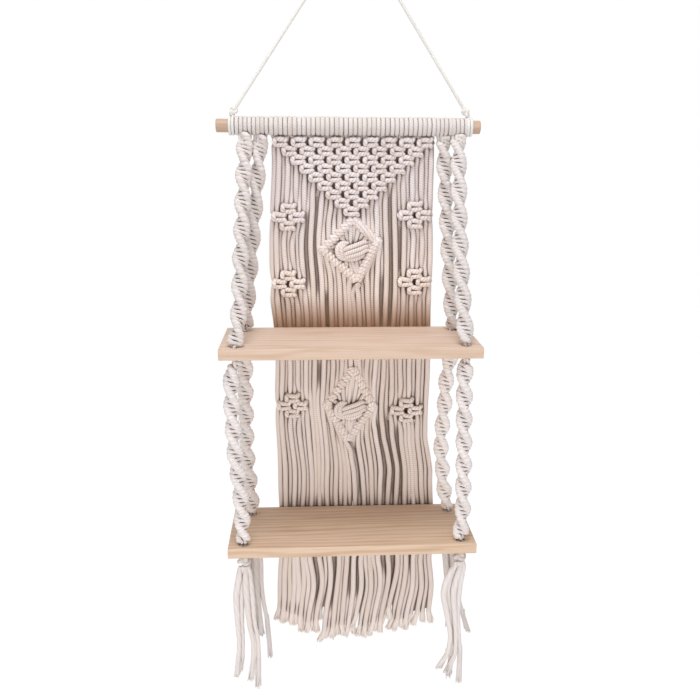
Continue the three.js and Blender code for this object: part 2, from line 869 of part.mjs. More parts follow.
function tassel(corner) {
  const hole = holePlace(corner);
  const { bow, ends } = tasselShares[corner];
  const centre = vector(hole.x, hole.y, tasselPivot);
  const head = loft([
    ...ballEnd(centre, vector(0, 0, 1), 0),
    ringAcross(centre, vector(0, 0, -1), neckRadius, neckRadius, 0, ropeSides),
    ringAcross(centre.clone().add(vector(0, 0, -neckRadius)), vector(0, 0, -1),
      neckRadius, neckRadius, 0, ropeSides),
  ]);
  const solids = [head];
  ends.forEach(([asideShare, downShare], i) => {
    const y = (i % 2 ? 1 : -1) * tasselCordRadius;
    const lean = (i - (ends.length - 1) / 2) * tasselSpread;
    const aside = asideShare * tasselLength;
    const down = downShare * tasselLength;
    const points = [
      vector(lean / 3, y / 3, 0),
      vector(lean + bow * tasselLength, y, -tasselBulgeShare * tasselLength),
      vector(tasselKneeShares.aside * aside, y, -tasselKneeShares.down * down),
      vector(aside, y, -down),
    ];
    const path = points.map((point) => point.add(centre));
    solids.push(rope(path, tasselCordRadius, tasselSteps, strandSides));
  });
  return join(solids);
}

for (const corner of corners) {
  add(`stopper_knot_${corner}`, stopper(corner), cotton);
}
for (const corner of corners) {
  add(`tassel_${corner}`, tassel(corner), cotton);
}

// The hook point is the underside of the cord where it turns.
shelf.position.set(-hookX, -dowelY, -(cord.crown.z - hangerRadius));

const part = new THREE.Group();
part.add(shelf);

export default part;
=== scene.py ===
"""A hanging rope shelf: two pine boards on knotted cotton ropes, a dowel and a knotted cord panel.

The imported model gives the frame. Lengths are millimetres about the middle of the upper board's
top face, as in the part's own source, and row() turns them into metres in the row's frame.
"""

import math
import random

import bmesh
import bpy
from bpy.props import FloatProperty, FloatVectorProperty, PointerProperty
from mathutils import Matrix, Vector


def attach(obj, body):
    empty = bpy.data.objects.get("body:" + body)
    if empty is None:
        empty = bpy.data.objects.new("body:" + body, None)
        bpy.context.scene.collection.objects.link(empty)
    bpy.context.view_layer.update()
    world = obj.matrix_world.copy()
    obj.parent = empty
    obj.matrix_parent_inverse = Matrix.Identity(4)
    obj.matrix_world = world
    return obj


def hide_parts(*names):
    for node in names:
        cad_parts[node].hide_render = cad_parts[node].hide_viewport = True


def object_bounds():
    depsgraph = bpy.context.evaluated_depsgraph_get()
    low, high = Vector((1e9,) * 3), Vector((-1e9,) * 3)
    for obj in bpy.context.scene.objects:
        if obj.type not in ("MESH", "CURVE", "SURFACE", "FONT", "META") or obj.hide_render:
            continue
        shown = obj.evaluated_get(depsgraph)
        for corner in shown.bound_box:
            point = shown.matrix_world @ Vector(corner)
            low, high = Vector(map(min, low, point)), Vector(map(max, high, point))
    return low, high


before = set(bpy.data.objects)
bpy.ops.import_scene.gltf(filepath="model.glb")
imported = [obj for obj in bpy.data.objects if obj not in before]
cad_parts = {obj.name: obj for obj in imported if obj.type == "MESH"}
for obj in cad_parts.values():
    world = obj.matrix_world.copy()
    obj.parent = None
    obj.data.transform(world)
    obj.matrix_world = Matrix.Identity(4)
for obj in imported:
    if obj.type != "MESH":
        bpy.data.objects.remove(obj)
CAD_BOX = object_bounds()

bl_info = {
    "name": "Hanging rope shelf",
    "version": (1, 0, 0),
    "blender": (4, 5, 0),
    "location": "3D View > Sidebar > Rope Shelf",
    "description": "Two pine boards on knotted cotton ropes with a knotted cord panel",
    "category": "Object",
}

# Places that the part's own source fixes, in millimetres
ORIGIN = Vector((-6.4, -66.0, -530.0))
BOARD_WIDE = 350.0
BOARD_DEEP = 130.0
BOARD_THICK = 15.0
UPPER_TOP = 0.0
LOWER_TOP = -286.0
# The lower board hangs a little to the right of the upper one
LOWER_ASIDE = 3.2
HOLES = {
    "front_left": (-154.0, -51.0),
    "front_right": (154.0, -51.0),
    "rear_left": (-147.0, 43.5),
    "rear_right": (152.0, 43.5),
}
HOLE_RADIUS = 6.2
DOWEL_HALF = 182.5
DOWEL_MIDDLE = 1.5
DOWEL_RADIUS = 9.0
DOWEL_Y = 66.0
DOWEL_Z = 283.6
WRAP_RADIUS = 12.6
PANEL_Y = 68.2
PANEL_CORDS = 36
PANEL_LOOP_PITCH = 6.4
PANEL_LOOP_MIDDLE = 6.4
ROPE_CORDS = 4
ROPE_LOOP_PITCH = 5.75
ROPE_LOOPS = {
    "left_inner": -120.74,
    "left_outer": -143.84,
    "right_inner": 132.84,
    "right_outer": 154.94,
}
MOUNTS = {
    "front_left": "left_outer",
    "front_right": "right_outer",
    "rear_left": "left_inner",
    "rear_right": "right_inner",
}
SIDES = ("left", "right")
HANGER_LOOPS = {"left": -159.94, "right": 168.64}
HANGER_KNOTS = {"left": (-153.94, 66.0, 306.6), "right": (160.64, 66.0, 307.6)}
HOOK = Vector((6.4, 66.0, 539.2))
HOOK_BEND = 18.0
TASSEL_PIVOT = -323.1


def row(point):
    """A point of the shelf in millimetres, as metres in the row's frame."""
    return (Vector(point) + ORIGIN) / 1000.0


def linear(red, green, blue):
    """A colour as it is seen on screen, 0 to 255, as the numbers that a material takes."""
    shares = (red / 255.0, green / 255.0, blue / 255.0)
    return tuple(c / 12.92 if c <= 0.04045 else ((c + 0.055) / 1.055) ** 2.4 for c in shares)


def toned(colour, *shares):
    """A colour times a share for each of its three parts, or times one share for all."""
    return tuple(min(1.0, c * k) for c, k in zip(colour, shares * (3 // len(shares))))


def mix(a, b, share):
    """The value at a share of the way from a to b."""
    return a + (b - a) * share


def smooth(share):
    """A share held between 0 and 1, with a gentle start and end."""
    share = min(max(share, 0.0), 1.0)
    return share * share * (3.0 - 2.0 * share)


def even_shares(count):
    """The shares from 0 to 1 in equal steps."""
    return [step / count for step in range(count + 1)]


def side_by_side(middle, count, pitch):
    """Evenly spaced places round a middle."""
    return [middle + (number - (count - 1) / 2) * pitch for number in range(count)]


def segment(stops, value):
    """Which two neighbours in a rising list a value lies between, and its share of the way."""
    i = 0
    while i + 2 < len(stops) and value > stops[i + 1]:
        i += 1
    share = (value - stops[i]) / (stops[i + 1] - stops[i])
    return i, min(max(share, 0.0), 1.0)


# Sizes and colours that a user would change


def length_property(name, default, description):
    """A property that holds a length in metres."""
    return FloatProperty(
        name=name, description=description, default=default, unit="LENGTH", subtype="DISTANCE"
    )


def colour_property(name, seen, description):
    """A property that holds a colour, its default given as it is seen on screen."""
    return FloatVectorProperty(
        name=name, description=description, default=linear(*seen), size=3, subtype="COLOR"
    )


class RopeSizes(bpy.types.PropertyGroup):
    """Thicknesses of the cords and how they are twisted."""

    panel_cord: length_property(
        "Panel cord", 0.0062, "Diameter of a cord where it is drawn tight in a knot"
    )
    carrying_cord: length_property(
        "Carrying cord", 0.0058, "Diameter of the cords that the boards hang on"
    )
    hanger_cord: length_property("Hanger cord", 0.0041, "Diameter of the thin cord over the hook")
    lay: length_property("Lay", 0.0102, "Length of panel cord in which a strand goes once round")
    ring_spacing: length_property(
        "Ring spacing", 0.0019, "Distance between two rings of points along a cord"
    )


class ShelfColours(bpy.types.PropertyGroup):
    """Colours of the cotton and the wood."""

    rope: colour_property("Rope", (230, 223, 222), "Cotton of the carrying ropes and tassels")
    hanger: colour_property("Hanger", (233, 231, 228), "Cotton of the thin cord over the hook")
    panel: colour_property("Panel", (249, 237, 232), "Cotton of the knotted panel")
    pine: colour_property("Pine", (229, 205, 188), "Early wood of the boards")
    pine_grain: colour_property("Pine grain", (198, 161, 129), "Late wood of the boards")
    dowel: colour_property("Dowel", (205, 175, 153), "Wood of the dowel")


# Node building


class Wire:
    """A node's output that can be used in a sum, a difference or a product."""

    def __init__(self, graph, socket):
        self.graph = graph
        self.socket = socket

    def __add__(self, other):
        return self.graph.maths("ADD", self, other)

    def __sub__(self, other):
        return self.graph.maths("SUBTRACT", self, other)

    def __rsub__(self, other):
        return self.graph.maths("SUBTRACT", other, self)

    def __mul__(self, other):
        return self.graph.maths("MULTIPLY", self, other)

    __radd__ = __add__
    __rmul__ = __mul__


class Graph:
    """Adds nodes to one material or one node group."""

    def __init__(self, tree):
        self.tree = tree
        tree.nodes.clear()

    def add(self, kind, settings=None, sockets=None, output=0):
        """A new node, its settings made before its sockets are fed, as one of its outputs."""
        node = self.tree.nodes.new(kind)
        for name, value in (settings or {}).items():
            setattr(node, name, value)
        for key, value in (sockets or {}).items():
            self.feed(node.inputs[key], value)
        return Wire(self, node.outputs[output]) if len(node.outputs) else None

    def feed(self, socket, value):
        if isinstance(value, Wire):
            self.tree.links.new(value.socket, socket)
        elif socket.type == "RGBA":
            socket.default_value = (*value[:3], 1.0)
        else:
            socket.default_value = value

    def maths(self, operation, *values):
        return self.add("ShaderNodeMath", {"operation": operation}, dict(enumerate(values)))

    def blend(self, share, first, second, how="MIX"):
        settings = {"data_type": "RGBA", "blend_type": how}
        return self.add("ShaderNodeMix", settings, {0: share, 6: first, 7: second}, 2)

    def ramp(self, value, low, high):
        settings = {"interpolation_type": "SMOOTHSTEP"}
        return self.add("ShaderNodeMapRange", settings, {0: value, 1: low, 2: high})

    def noise(self, vector, scale, detail=2.0, roughness=0.5):
        sockets = {"Vector": vector, "Scale": scale, "Detail": detail, "Roughness": roughness}
        return self.add("ShaderNodeTexNoise", {}, sockets)

    def streaky(self, parts, scales, detail, roughness=0.5):
        """Noise over three values, each with a scale of its own."""
        scaled = [part * scale for part, scale in zip(parts, scales)]
        vector = self.add("ShaderNodeCombineXYZ", {}, dict(enumerate(scaled)))
        return self.noise(vector, 1.0, detail, roughness)

    def split(self, vector):
        node = self.add("ShaderNodeSeparateXYZ", {}, {0: vector}).socket.node
        return [Wire(self, socket) for socket in node.outputs]

    def attribute(self, name, output=2):
        return self.add("ShaderNodeAttribute", {"attribute_name": name}, {}, output)

    def store(self, geometry, kind, name, value):
        """The geometry with a value kept at its points, for the materials to read."""
        settings = {"data_type": kind, "domain": "POINT"}
        sockets = {"Geometry": geometry, "Name": name, "Value": value}
        return self.add("GeometryNodeStoreNamedAttribute", settings, sockets)


def material(name):
    made = bpy.data.materials.new(name)
    made.use_nodes = True
    return made, Graph(made.node_tree)


def finish_material(graph, colour, roughness, height, strength, distance, **constants):
    """Join a colour, a roughness and a relief in one shader, with its other values constant."""
    relief = {"Height": height, "Strength": strength, "Distance": distance}
    bump = graph.add("ShaderNodeBump", {}, relief)
    sockets = {"Base Color": colour, "Roughness": roughness, "Normal": bump}
    sockets.update((name.replace("_", " "), value) for name, value in constants.items())
    shader = graph.add("ShaderNodeBsdfPrincipled", {}, sockets)
    graph.add("ShaderNodeOutputMaterial", {}, {"Surface": shader})


def cotton(name, colour, lay, crease, shade, depth=0.0006, groove_shade=0.8, pits=0.42, board_shade=0.0):
    """Soft cotton: three strands twisted round each cord, with a painted shade line between them.

    lay is the length in millimetres in which a strand goes once round, or 0 for loose yarn.
    crease is how far round a place its surroundings count, and shade how much painted shade they
    put on it as they close in. depth is the height of the relief, and marks how dark the painted
    shade in the lines between the strands is. pits is the open share of the surroundings below
    which a place gets deep painted shade, and stain is how much painted shade and warm bounce light
    from the upper board brown the cords' fronts where they pass that board; it also makes the
    cotton's deep painted shade weaker and its tone a little cooler higher than 50 mm above the
    board.
    """
    made, graph = material(name)
    place = graph.add("ShaderNodeTexCoord", {}, {}, 3)
    across, over, _ = graph.split(graph.attribute("section", 1))
    run, tint, phase = (graph.attribute(label) for label in ("run", "tint", "phase"))
    turn = graph.maths("ARCTAN2", over, across) + phase
    if lay:
        turn = turn + run * (2.0 * math.pi / lay)
    strand = graph.maths("ABSOLUTE", graph.maths("SINE", turn * 1.5))
    yarn = (graph.maths("COSINE", turn), graph.maths("SINE", turn), run)
    fibres = graph.streaky(yarn, (3.2, 3.2, 0.3), 4.0, 0.65)
    lint = graph.streaky(yarn, (1.2, 1.2, 0.8), 3.0, 0.6)
    cloud = graph.noise(place, 16.0)
    warm = toned(colour, 0.95, 0.91, 0.86)
    base = graph.blend(graph.ramp(cloud, 0.35, 0.7), toned(colour, 1.06), colour)
    base = graph.blend(graph.ramp(lint, 0.5, 0.8) * 0.6, base, warm)
    base = graph.blend(tint * 0.9, base, warm)
    height = fibres + lint * 0.5
    if lay:
        # Painted shade: the lines between the strands are darkened towards a brown grey.
        groove = graph.ramp(strand, 0.62, 0.08) * (0.35 + fibres * 0.5) * groove_shade
        base = graph.blend(groove, base, toned(colour, 0.5, 0.43, 0.38))
        height = strand + height * 0.2
    # Painted shade: where the surroundings close in, creases are darkened towards a dim brown, and
    # deep hollows towards a dark one.
    open_sky = graph.add("ShaderNodeAmbientOcclusion", {"samples": 8}, {"Distance": crease}, 1)
    dim = toned(colour, 0.56, 0.46, 0.38)
    base = graph.blend(graph.ramp(open_sky, 0.8, 0.25) * shade, base, dim)
    hollow = toned(colour, 0.17, 0.125, 0.1)
    # From 50 mm above the upper board upward, fully from 200 mm, the deep painted shade is weaker
    # and the tone a little cooler.
    high = 0.0
    if board_shade:
        board = row((0.0, 0.0, UPPER_TOP)).z
        _, _, rise = graph.split(place)
        high = graph.ramp(rise, board + 0.05, board + 0.2)
    base = graph.blend(graph.ramp(open_sky, pits, 0.14) * (0.95 - high * 0.42), base, hollow)
    # Painted shade and warm bounce light from the upper board: the cords' fronts are browned where
    # they pass it, from under its top to 55 mm above it.
    if board_shade:
        below = graph.ramp(rise, board + 0.055, board - 0.004)
        above = graph.ramp(rise, board - 0.03, board - 0.012)
        front = graph.ramp(graph.attribute("facing"), -0.4, 0.2)
        board_shade_colour = toned(colour, 0.5, 0.34, 0.23)
        base = graph.blend(below * above * front * board_shade, base, board_shade_colour)
        base = graph.blend(high, base, (0.935, 0.96, 1.025), "MULTIPLY")
    soft = {"Sheen_Weight": 0.2, "Sheen_Roughness": 0.5, "Specular_IOR_Level": 0.15}
    finish_material(graph, base, 0.9 + fibres * 0.1, height, 0.8, depth, **soft)
    return made


def wood(name, early, late, ring_rate, contrast, front_painted_shade=0.0):
    """Sawn softwood with growth lines and fine streaks from left to right.

    front_painted_shade is how far painted shade darkens a board's front edge towards the late wood.
    """
    made, graph = material(name)
    parts = graph.split(graph.add("ShaderNodeTexCoord", {}, {}, 3))
    _, deep, up = parts
    wander = graph.streaky(parts, (3.0, 24.0, 24.0), 3.0)
    waves = deep * ring_rate + up * (0.6 * ring_rate) + wander * 26.0
    late_wood = graph.ramp(graph.maths("SINE", waves), -0.3, 1.0)
    streaks = graph.streaky(parts, (14.0, 900.0, 900.0), 3.0, 0.6)
    patches = graph.streaky(parts, (7.0, 60.0, 60.0), 2.0)
    base = graph.blend(late_wood * (patches * 1.6 * contrast), early, late)
    base = graph.blend(graph.ramp(streaks, 0.42, 0.75) * 0.45, base, late)
    base = graph.blend(graph.ramp(patches, 0.5, 0.85) * 0.3, base, late)
    # Painted shade on the front edge.
    if front_painted_shade:
        front = row((0.0, -BOARD_DEEP / 2, 0.0)).y
        edge = graph.ramp(deep, front + 0.0012, front + 0.0003)
        base = graph.blend(edge * front_painted_shade, base, late)
    relief = streaks + late_wood * 0.4
    finish_material(
        graph, base, 0.5 + streaks * 0.2, relief, 0.25, 0.0002, Specular_IOR_Level=0.35
    )
    return made


# Objects


def new_object(name, data):
    """An object with this data, linked to the scene."""
    made = bpy.data.objects.new(name, data)
    bpy.context.scene.collection.objects.link(made)
    return made


def discard(old):
    """Remove an object and its data."""
    data = old.data
    bpy.data.objects.remove(old)
    (bpy.data.curves if isinstance(data, bpy.types.Curve) else bpy.data.meshes).remove(data)


def plain_mesh(source, name):
    """The evaluated shape of an object as a new mesh object, and the object removed."""
    graph = bpy.context.evaluated_depsgraph_get()
    mesh = bpy.data.meshes.new_from_object(source.evaluated_get(graph), depsgraph=graph)
    mesh.name = name
    discard(source)
    return new_object(name, mesh)


def mesh_piece(name, made, finish, smooth_angle=40.0):
    """A mesh object from a bmesh, with its doubles merged and its faces turned out."""
    bmesh.ops.remove_doubles(made, verts=made.verts, dist=1e-6)
    bmesh.ops.recalc_face_normals(made, faces=made.faces)
    limit = math.radians(smooth_angle)
    for edge in made.edges:
        edge.smooth = len(edge.link_faces) == 2 and edge.calc_face_angle(0.0) < limit
    for face in made.faces:
        face.smooth = True
    mesh = bpy.data.meshes.new(name)
    made.to_mesh(mesh)
    made.free()
    mesh.materials.append(finish)
    return new_object(name, mesh)


def seat(piece, body, slot, *nodes):
    """The piece takes the place of its nodes and moves with a body; slot is not used."""
    if nodes:
        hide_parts(*nodes)
    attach(piece, body)


# Cords

CORD_INPUTS = (
    ("Geometry", "NodeSocketGeometry", None),
    ("Cord Radius", "NodeSocketFloat", 0.0027),
    ("Ring Spacing", "NodeSocketFloat", 0.002),
    ("Section Points", "NodeSocketInt", 10),
    ("Material", "NodeSocketMaterial", None),
)


def cord_tree():
    """A node group that lays twisted cords along a mesh's lines, and its inputs' identifiers."""
    group = bpy.data.node_groups.new("Laid cords", "GeometryNodeTree")
    names = {}
    for name, kind, default in CORD_INPUTS:
        socket = group.interface.new_socket(name, in_out="INPUT", socket_type=kind)
        if default is not None:
            socket.default_value = default
        names[name] = socket.identifier
    group.interface.new_socket("Geometry", in_out="OUTPUT", socket_type="NodeSocketGeometry")
    graph = Graph(group)
    source = group.nodes.new("NodeGroupInput")
    given = {name: Wire(graph, source.outputs[name]) for name in names}

    rail = graph.add("GeometryNodeMeshToCurve", {}, {0: given["Geometry"]})
    rail = graph.add("GeometryNodeCurveSplineType", {"spline_type": "CATMULL_ROM"}, {0: rail})
    sockets = {"Curve": rail, "Length": given["Ring Spacing"]}
    rail = graph.add("GeometryNodeResampleCurve", {"mode": "LENGTH"}, sockets)
    length = graph.add("GeometryNodeSplineParameter", {}, {}, 1)
    rail = graph.store(rail, "FLOAT", "run", length * 1000.0)
    sockets = {"Resolution": given["Section Points"], "Radius": 1.0}
    profile = graph.add("GeometryNodeCurvePrimitiveCircle", {"mode": "RADIUS"}, sockets)
    position = graph.add("GeometryNodeInputPosition")
    profile = graph.store(profile, "FLOAT_VECTOR", "section", position)
    thick = graph.add("GeometryNodeInputNamedAttribute", {"data_type": "FLOAT"}, {0: "thick"})
    scale = thick * given["Cord Radius"]
    sockets = {"Curve": rail, "Profile Curve": profile, "Scale": scale, "Fill Caps": True}
    tube = graph.add("GeometryNodeCurveToMesh", {}, sockets)
    _, inward, _ = graph.split(graph.add("GeometryNodeInputNormal"))
    tube = graph.store(tube, "FLOAT", "facing", inward * -1.0)
    tube = graph.add("GeometryNodeRealizeInstances", {}, {0: tube})
    sockets = {"Geometry": tube, "Material": given["Material"]}
    tube = graph.add("GeometryNodeSetMaterial", {}, sockets)
    graph.add("NodeGroupOutput", {}, {"Geometry": tube})
    return group, names


class Cord:
    """One cord's line: points in millimetres, each with its share of the cord's thickness."""

    def __init__(self, seed, places=()):
        draw = random.Random(seed)
        self.phase = draw.uniform(0.0, 2.0 * math.pi)
        self.tint = draw.random()
        self.points = []
        for place in places:
            self.through(*place)

    def through(self, point, thick=1.0):
        self.points.append((Vector(point), thick))


def lay_cords(name, cords, radius, finish, sides=10, spacing=None):
    """A plain mesh object of twisted cords along the given lines."""
    group, names = CORD_TREE
    corners, edges, thick, phase, tint = [], [], [], [], []
    for cord in cords:
        first, count = len(corners), len(cord.points)
        corners += [row(point) for point, _ in cord.points]
        edges += [(first + i, first + i + 1) for i in range(count - 1)]
        thick += [share for _, share in cord.points]
        phase += [cord.phase] * count
        tint += [cord.tint] * count
    lines = bpy.data.meshes.new(name + "_lines")
    lines.from_pydata(corners, edges, [])
    for label, values in (("thick", thick), ("phase", phase), ("tint", tint)):
        lines.attributes.new(label, "FLOAT", "POINT").data.foreach_set("value", values)
    guide = new_object(name + "_lines", lines)
    laid = guide.modifiers.new("Laid cords", "NODES")
    laid.node_group = group
    laid[names["Cord Radius"]] = radius / 1000.0
    rings = bpy.context.scene.rope_sizes.ring_spacing
    laid[names["Ring Spacing"]] = spacing / 1000.0 if spacing else rings
    laid[names["Section Points"]] = sides
    laid[names["Material"]] = finish
    piece = plain_mesh(guide, name)
    piece.data.polygons.foreach_set("use_smooth", [True] * len(piece.data.polygons))
    return piece


# Distances between two rings of points along a cord, in millimetres, where they aren't the
# panel's
KNOT_RINGS = 1.0
ROPE_RINGS = 1.6
TASSEL_RINGS = 2.5
YARN_RINGS = 4.0


def rope_radius(field):
    """Half of one of the cords' diameters, in millimetres."""
    return getattr(bpy.context.scene.rope_sizes, field) * 500.0


# Camera

CAMERA_AT = (-59.014, -1052.009, 252.3)
# How far it is turned to the right, tilted down and rolled, in degrees
CAMERA_TURN = (3.253, 14.408, 0.334)
CAMERA_LENS = 40.07
SENSOR = 36.0


class MakeCamera(bpy.types.Operator):
    """Stand the camera where the photograph was taken from"""

    bl_idname = "rope_shelf.camera"
    bl_label = "Camera"

    def execute(self, context):
        yaw, pitch, roll = (math.radians(angle) for angle in CAMERA_TURN)
        data = bpy.data.cameras.new("camera")
        data.lens = CAMERA_LENS
        data.sensor_width = SENSOR
        camera = new_object("camera", data)
        camera.matrix_world = (
            Matrix.Translation(row(CAMERA_AT))
            @ Matrix.Rotation(-yaw, 4, "Z")
            @ Matrix.Rotation(math.pi / 2 - pitch, 4, "X")
            @ Matrix.Rotation(roll, 4, "Z")
        )
        context.scene.camera = camera
        return {"FINISHED"}


# Hanger

HANGER_KNOT_TALL = 15.0
HOOK_STEPS = 12
LEG_STEPS = 8
TREFOIL_STEPS = 36
# A knot's path stops just short of its start, and its depth is a share of its width
TREFOIL_CLOSED = 0.985
TREFOIL_DEEP = 0.62
# A hanger loop's turn round the dowel, in degrees
TURN_STEPS = 18
TURN_FROM = 62
TURN_ROUND = 340


def towards_hook(side):
    return (HOOK - Vector(HANGER_KNOTS[side])).normalized()


def hanger_line():
    """Points of the cord from knot to knot over the hook."""
    clear = HANGER_KNOT_TALL / 2 + 0.3
    start, end = (Vector(HANGER_KNOTS[side]) + towards_hook(side) * clear for side in SIDES)
    before, after = (HOOK - towards_hook(side) * HOOK_BEND for side in SIDES)
    leg = even_shares(LEG_STEPS)
    points = [start.lerp(before, share) for share in leg[:-1]]
    for t in even_shares(HOOK_STEPS):
        points.append(before * (1 - t) ** 2 + HOOK * (2 * t * (1 - t)) + after * t**2)
    return points + [after.lerp(end, share) for share in leg[1:]]


def round_dowel(x, reach, angle):
    """A point at a reach from the dowel's axis, its angle counted up from the front."""
    return (x, DOWEL_Y - reach * math.cos(angle), DOWEL_Z + reach * math.sin(angle))


def trefoil(centre, axis, wide, tall, seed, turned=0.0, thick=1.0):
    """An overhand knot drawn up round an axis."""
    side = Vector((0.0, -1.0, 0.0)).cross(axis).normalized()
    front = axis.cross(side).normalized()
    cord = Cord(seed)
    for i in range(TREFOIL_STEPS + 1):
        t = 2 * math.pi * i / TREFOIL_STEPS * TREFOIL_CLOSED + turned
        a = (math.sin(t) + 2 * math.sin(2 * t)) / 3
        b = (math.cos(t) - 2 * math.cos(2 * t)) / 3
        c = -math.sin(3 * t)
        at = centre + side * (a * wide) + front * (c * wide * TREFOIL_DEEP) + axis * (b * tall)
        cord.through(at, thick)
    return cord


def hanger_knot(side, radius):
    """The knot above the dowel with two turns round the dowel below it."""
    axis = towards_hook(side)
    centre = Vector(HANGER_KNOTS[side]) - axis * 5.0
    reach = DOWEL_RADIUS + radius + 0.2
    cords = [
        trefoil(centre, axis, 3.3, 5.2, side, 0.0, 1.25),
        trefoil(centre, axis, 2.0, 3.2, side + "core", 1.6, 1.3),
    ]
    for turn, offset in enumerate((-radius * 1.02, radius * 1.02)):
        top = Vector((HANGER_LOOPS[side] + offset, DOWEL_Y, DOWEL_Z + reach))
        loop = Cord(f"{side}{turn}")
        loop.through(centre + axis * (2.0 * turn))
        loop.through(centre.lerp(top, 0.62))
        for i in range(TURN_STEPS + 1):
            angle = math.radians(TURN_FROM - TURN_ROUND * i / TURN_STEPS) * (1 if turn else -1)
            loop.through(round_dowel(top.x, reach, angle + math.pi * (1 - turn)))
        loop.through(centre.lerp(top, 0.7))
        loop.through(centre)
        cords.append(loop)
    tail = Cord(side + "tail")
    tail.through(centre - axis * 2.0)
    tail.through(centre + axis * (HANGER_KNOT_TALL / 2 + 5.3))
    return cords + [tail]


class MakeHanger(bpy.types.Operator):
    """Hang the thin cord over its hook and knot it round both ends of the dowel"""

    bl_idname = "rope_shelf.hanger"
    bl_label = "Hanger cord"

    def execute(self, context):
        radius = rope_radius("hanger_cord")
        finish = FINISHES["hanger"]
        for side in SIDES:
            name = f"hanger_knot_cords_{side}"
            cords = hanger_knot(side, radius)
            knot = lay_cords(name, cords, radius, finish, spacing=KNOT_RINGS)
            seat(knot, "hanger_and_dowel", "cotton_rope", f"hanger_knot_{side}")
        line = hanger_line()
        cord = Cord("hanger", [(point,) for point in line])
        piece = lay_cords("hanger_cord_laid", [cord], radius, finish, spacing=ROPE_RINGS)
        seat(piece, "hanger_and_dowel", "cotton_rope", "hanger_cord")
        return {"FINISHED"}


# Dowel and the loops round it

DOWEL_SIDES = 64
DOWEL_EASE = 1.2
# A loop's turn round the dowel in degrees, and how far its cord is pressed flat
LOOP_STEPS = 20
LOOP_FROM = -104
LOOP_ROUND = 388
LOOP_SQUEEZE = 0.6


class MakeDowel(bpy.types.Operator):
    """Turn the dowel and wind the cord loops round it"""

    bl_idname = "rope_shelf.dowel"
    bl_label = "Dowel and loops"

    def execute(self, context):
        self.turn_dowel()
        places = side_by_side(PANEL_LOOP_MIDDLE, PANEL_CORDS, PANEL_LOOP_PITCH)
        self.wind("panel_loop_cords", places, PANEL_LOOP_PITCH, "panel_loops", "panel_top")
        for group, middle in ROPE_LOOPS.items():
            places = side_by_side(middle, ROPE_CORDS, ROPE_LOOP_PITCH)
            name = f"rope_loop_cords_{group}"
            self.wind(name, places, ROPE_LOOP_PITCH, f"rope_loops_{group}", "rope")
        return {"FINISHED"}

    def turn_dowel(self):
        """The dowel as rings of points along its profile, with eased ends."""
        half, radius, ease = DOWEL_HALF, DOWEL_RADIUS, DOWEL_EASE
        profile = [(-half, 0.0), (-half, radius - 2 * ease), (-half, radius - ease)]
        profile += [(-half + 0.35, radius - 0.35), (-half + ease, radius), (-half + 3.0, radius)]
        profile += [(-x, r) for x, r in reversed(profile)]
        made = bmesh.new()
        rings = []
        for x, r in profile:
            ring = []
            for s in range(1 if r == 0.0 else DOWEL_SIDES):
                angle = 2 * math.pi * s / DOWEL_SIDES
                y = DOWEL_Y + r * math.cos(angle)
                z = DOWEL_Z + r * math.sin(angle)
                ring.append(made.verts.new(row((DOWEL_MIDDLE + x, y, z))))
            rings.append(ring)
        for a, b in zip(rings, rings[1:]):
            for s in range(DOWEL_SIDES):
                t = (s + 1) % DOWEL_SIDES
                corners = [a[s % len(a)], a[t % len(a)], b[t % len(b)], b[s % len(b)]]
                made.faces.new(list(dict.fromkeys(corners)))
        piece = mesh_piece("dowel_turned", made, FINISHES["dowel"])
        seat(piece, "hanger_and_dowel", "dowel_wood", "dowel")

    def wind(self, name, places, pitch, node, finish):
        """Cords side by side, each once round the dowel and flattened by its pull."""
        cords = []
        radius = pitch / 2 * 1.02
        for number, x in enumerate(places):
            draw = random.Random(f"{name}{number}")
            cord = Cord(f"{name}{number}")
            lean = draw.uniform(-0.4, 0.4)
            size = draw.uniform(0.9, 1.0)
            reach = DOWEL_RADIUS + radius + draw.uniform(0.0, 0.9)
            for share in even_shares(LOOP_STEPS):
                angle = math.radians(LOOP_FROM + LOOP_ROUND * share)
                cord.through(round_dowel(x + lean * (2 * share - 1), reach, angle), size)
            cords.append(cord)
        piece = lay_cords(name, cords, radius, FINISHES[finish])
        axis = row((0.0, DOWEL_Y, DOWEL_Z))
        bare = DOWEL_RADIUS / 1000.0
        for vertex in piece.data.vertices:
            y = vertex.co.y - axis.y
            z = vertex.co.z - axis.z
            out = math.hypot(y, z)
            share = (bare + 0.0002 + (out - bare) * LOOP_SQUEEZE) / out
            vertex.co.y = axis.y + y * share
            vertex.co.z = axis.z + z * share
        seat(piece, "hanger_and_dowel", "cotton_rope", node)


# Boards

BOARD_EASE = 0.9
HOLE_SIDES = 40


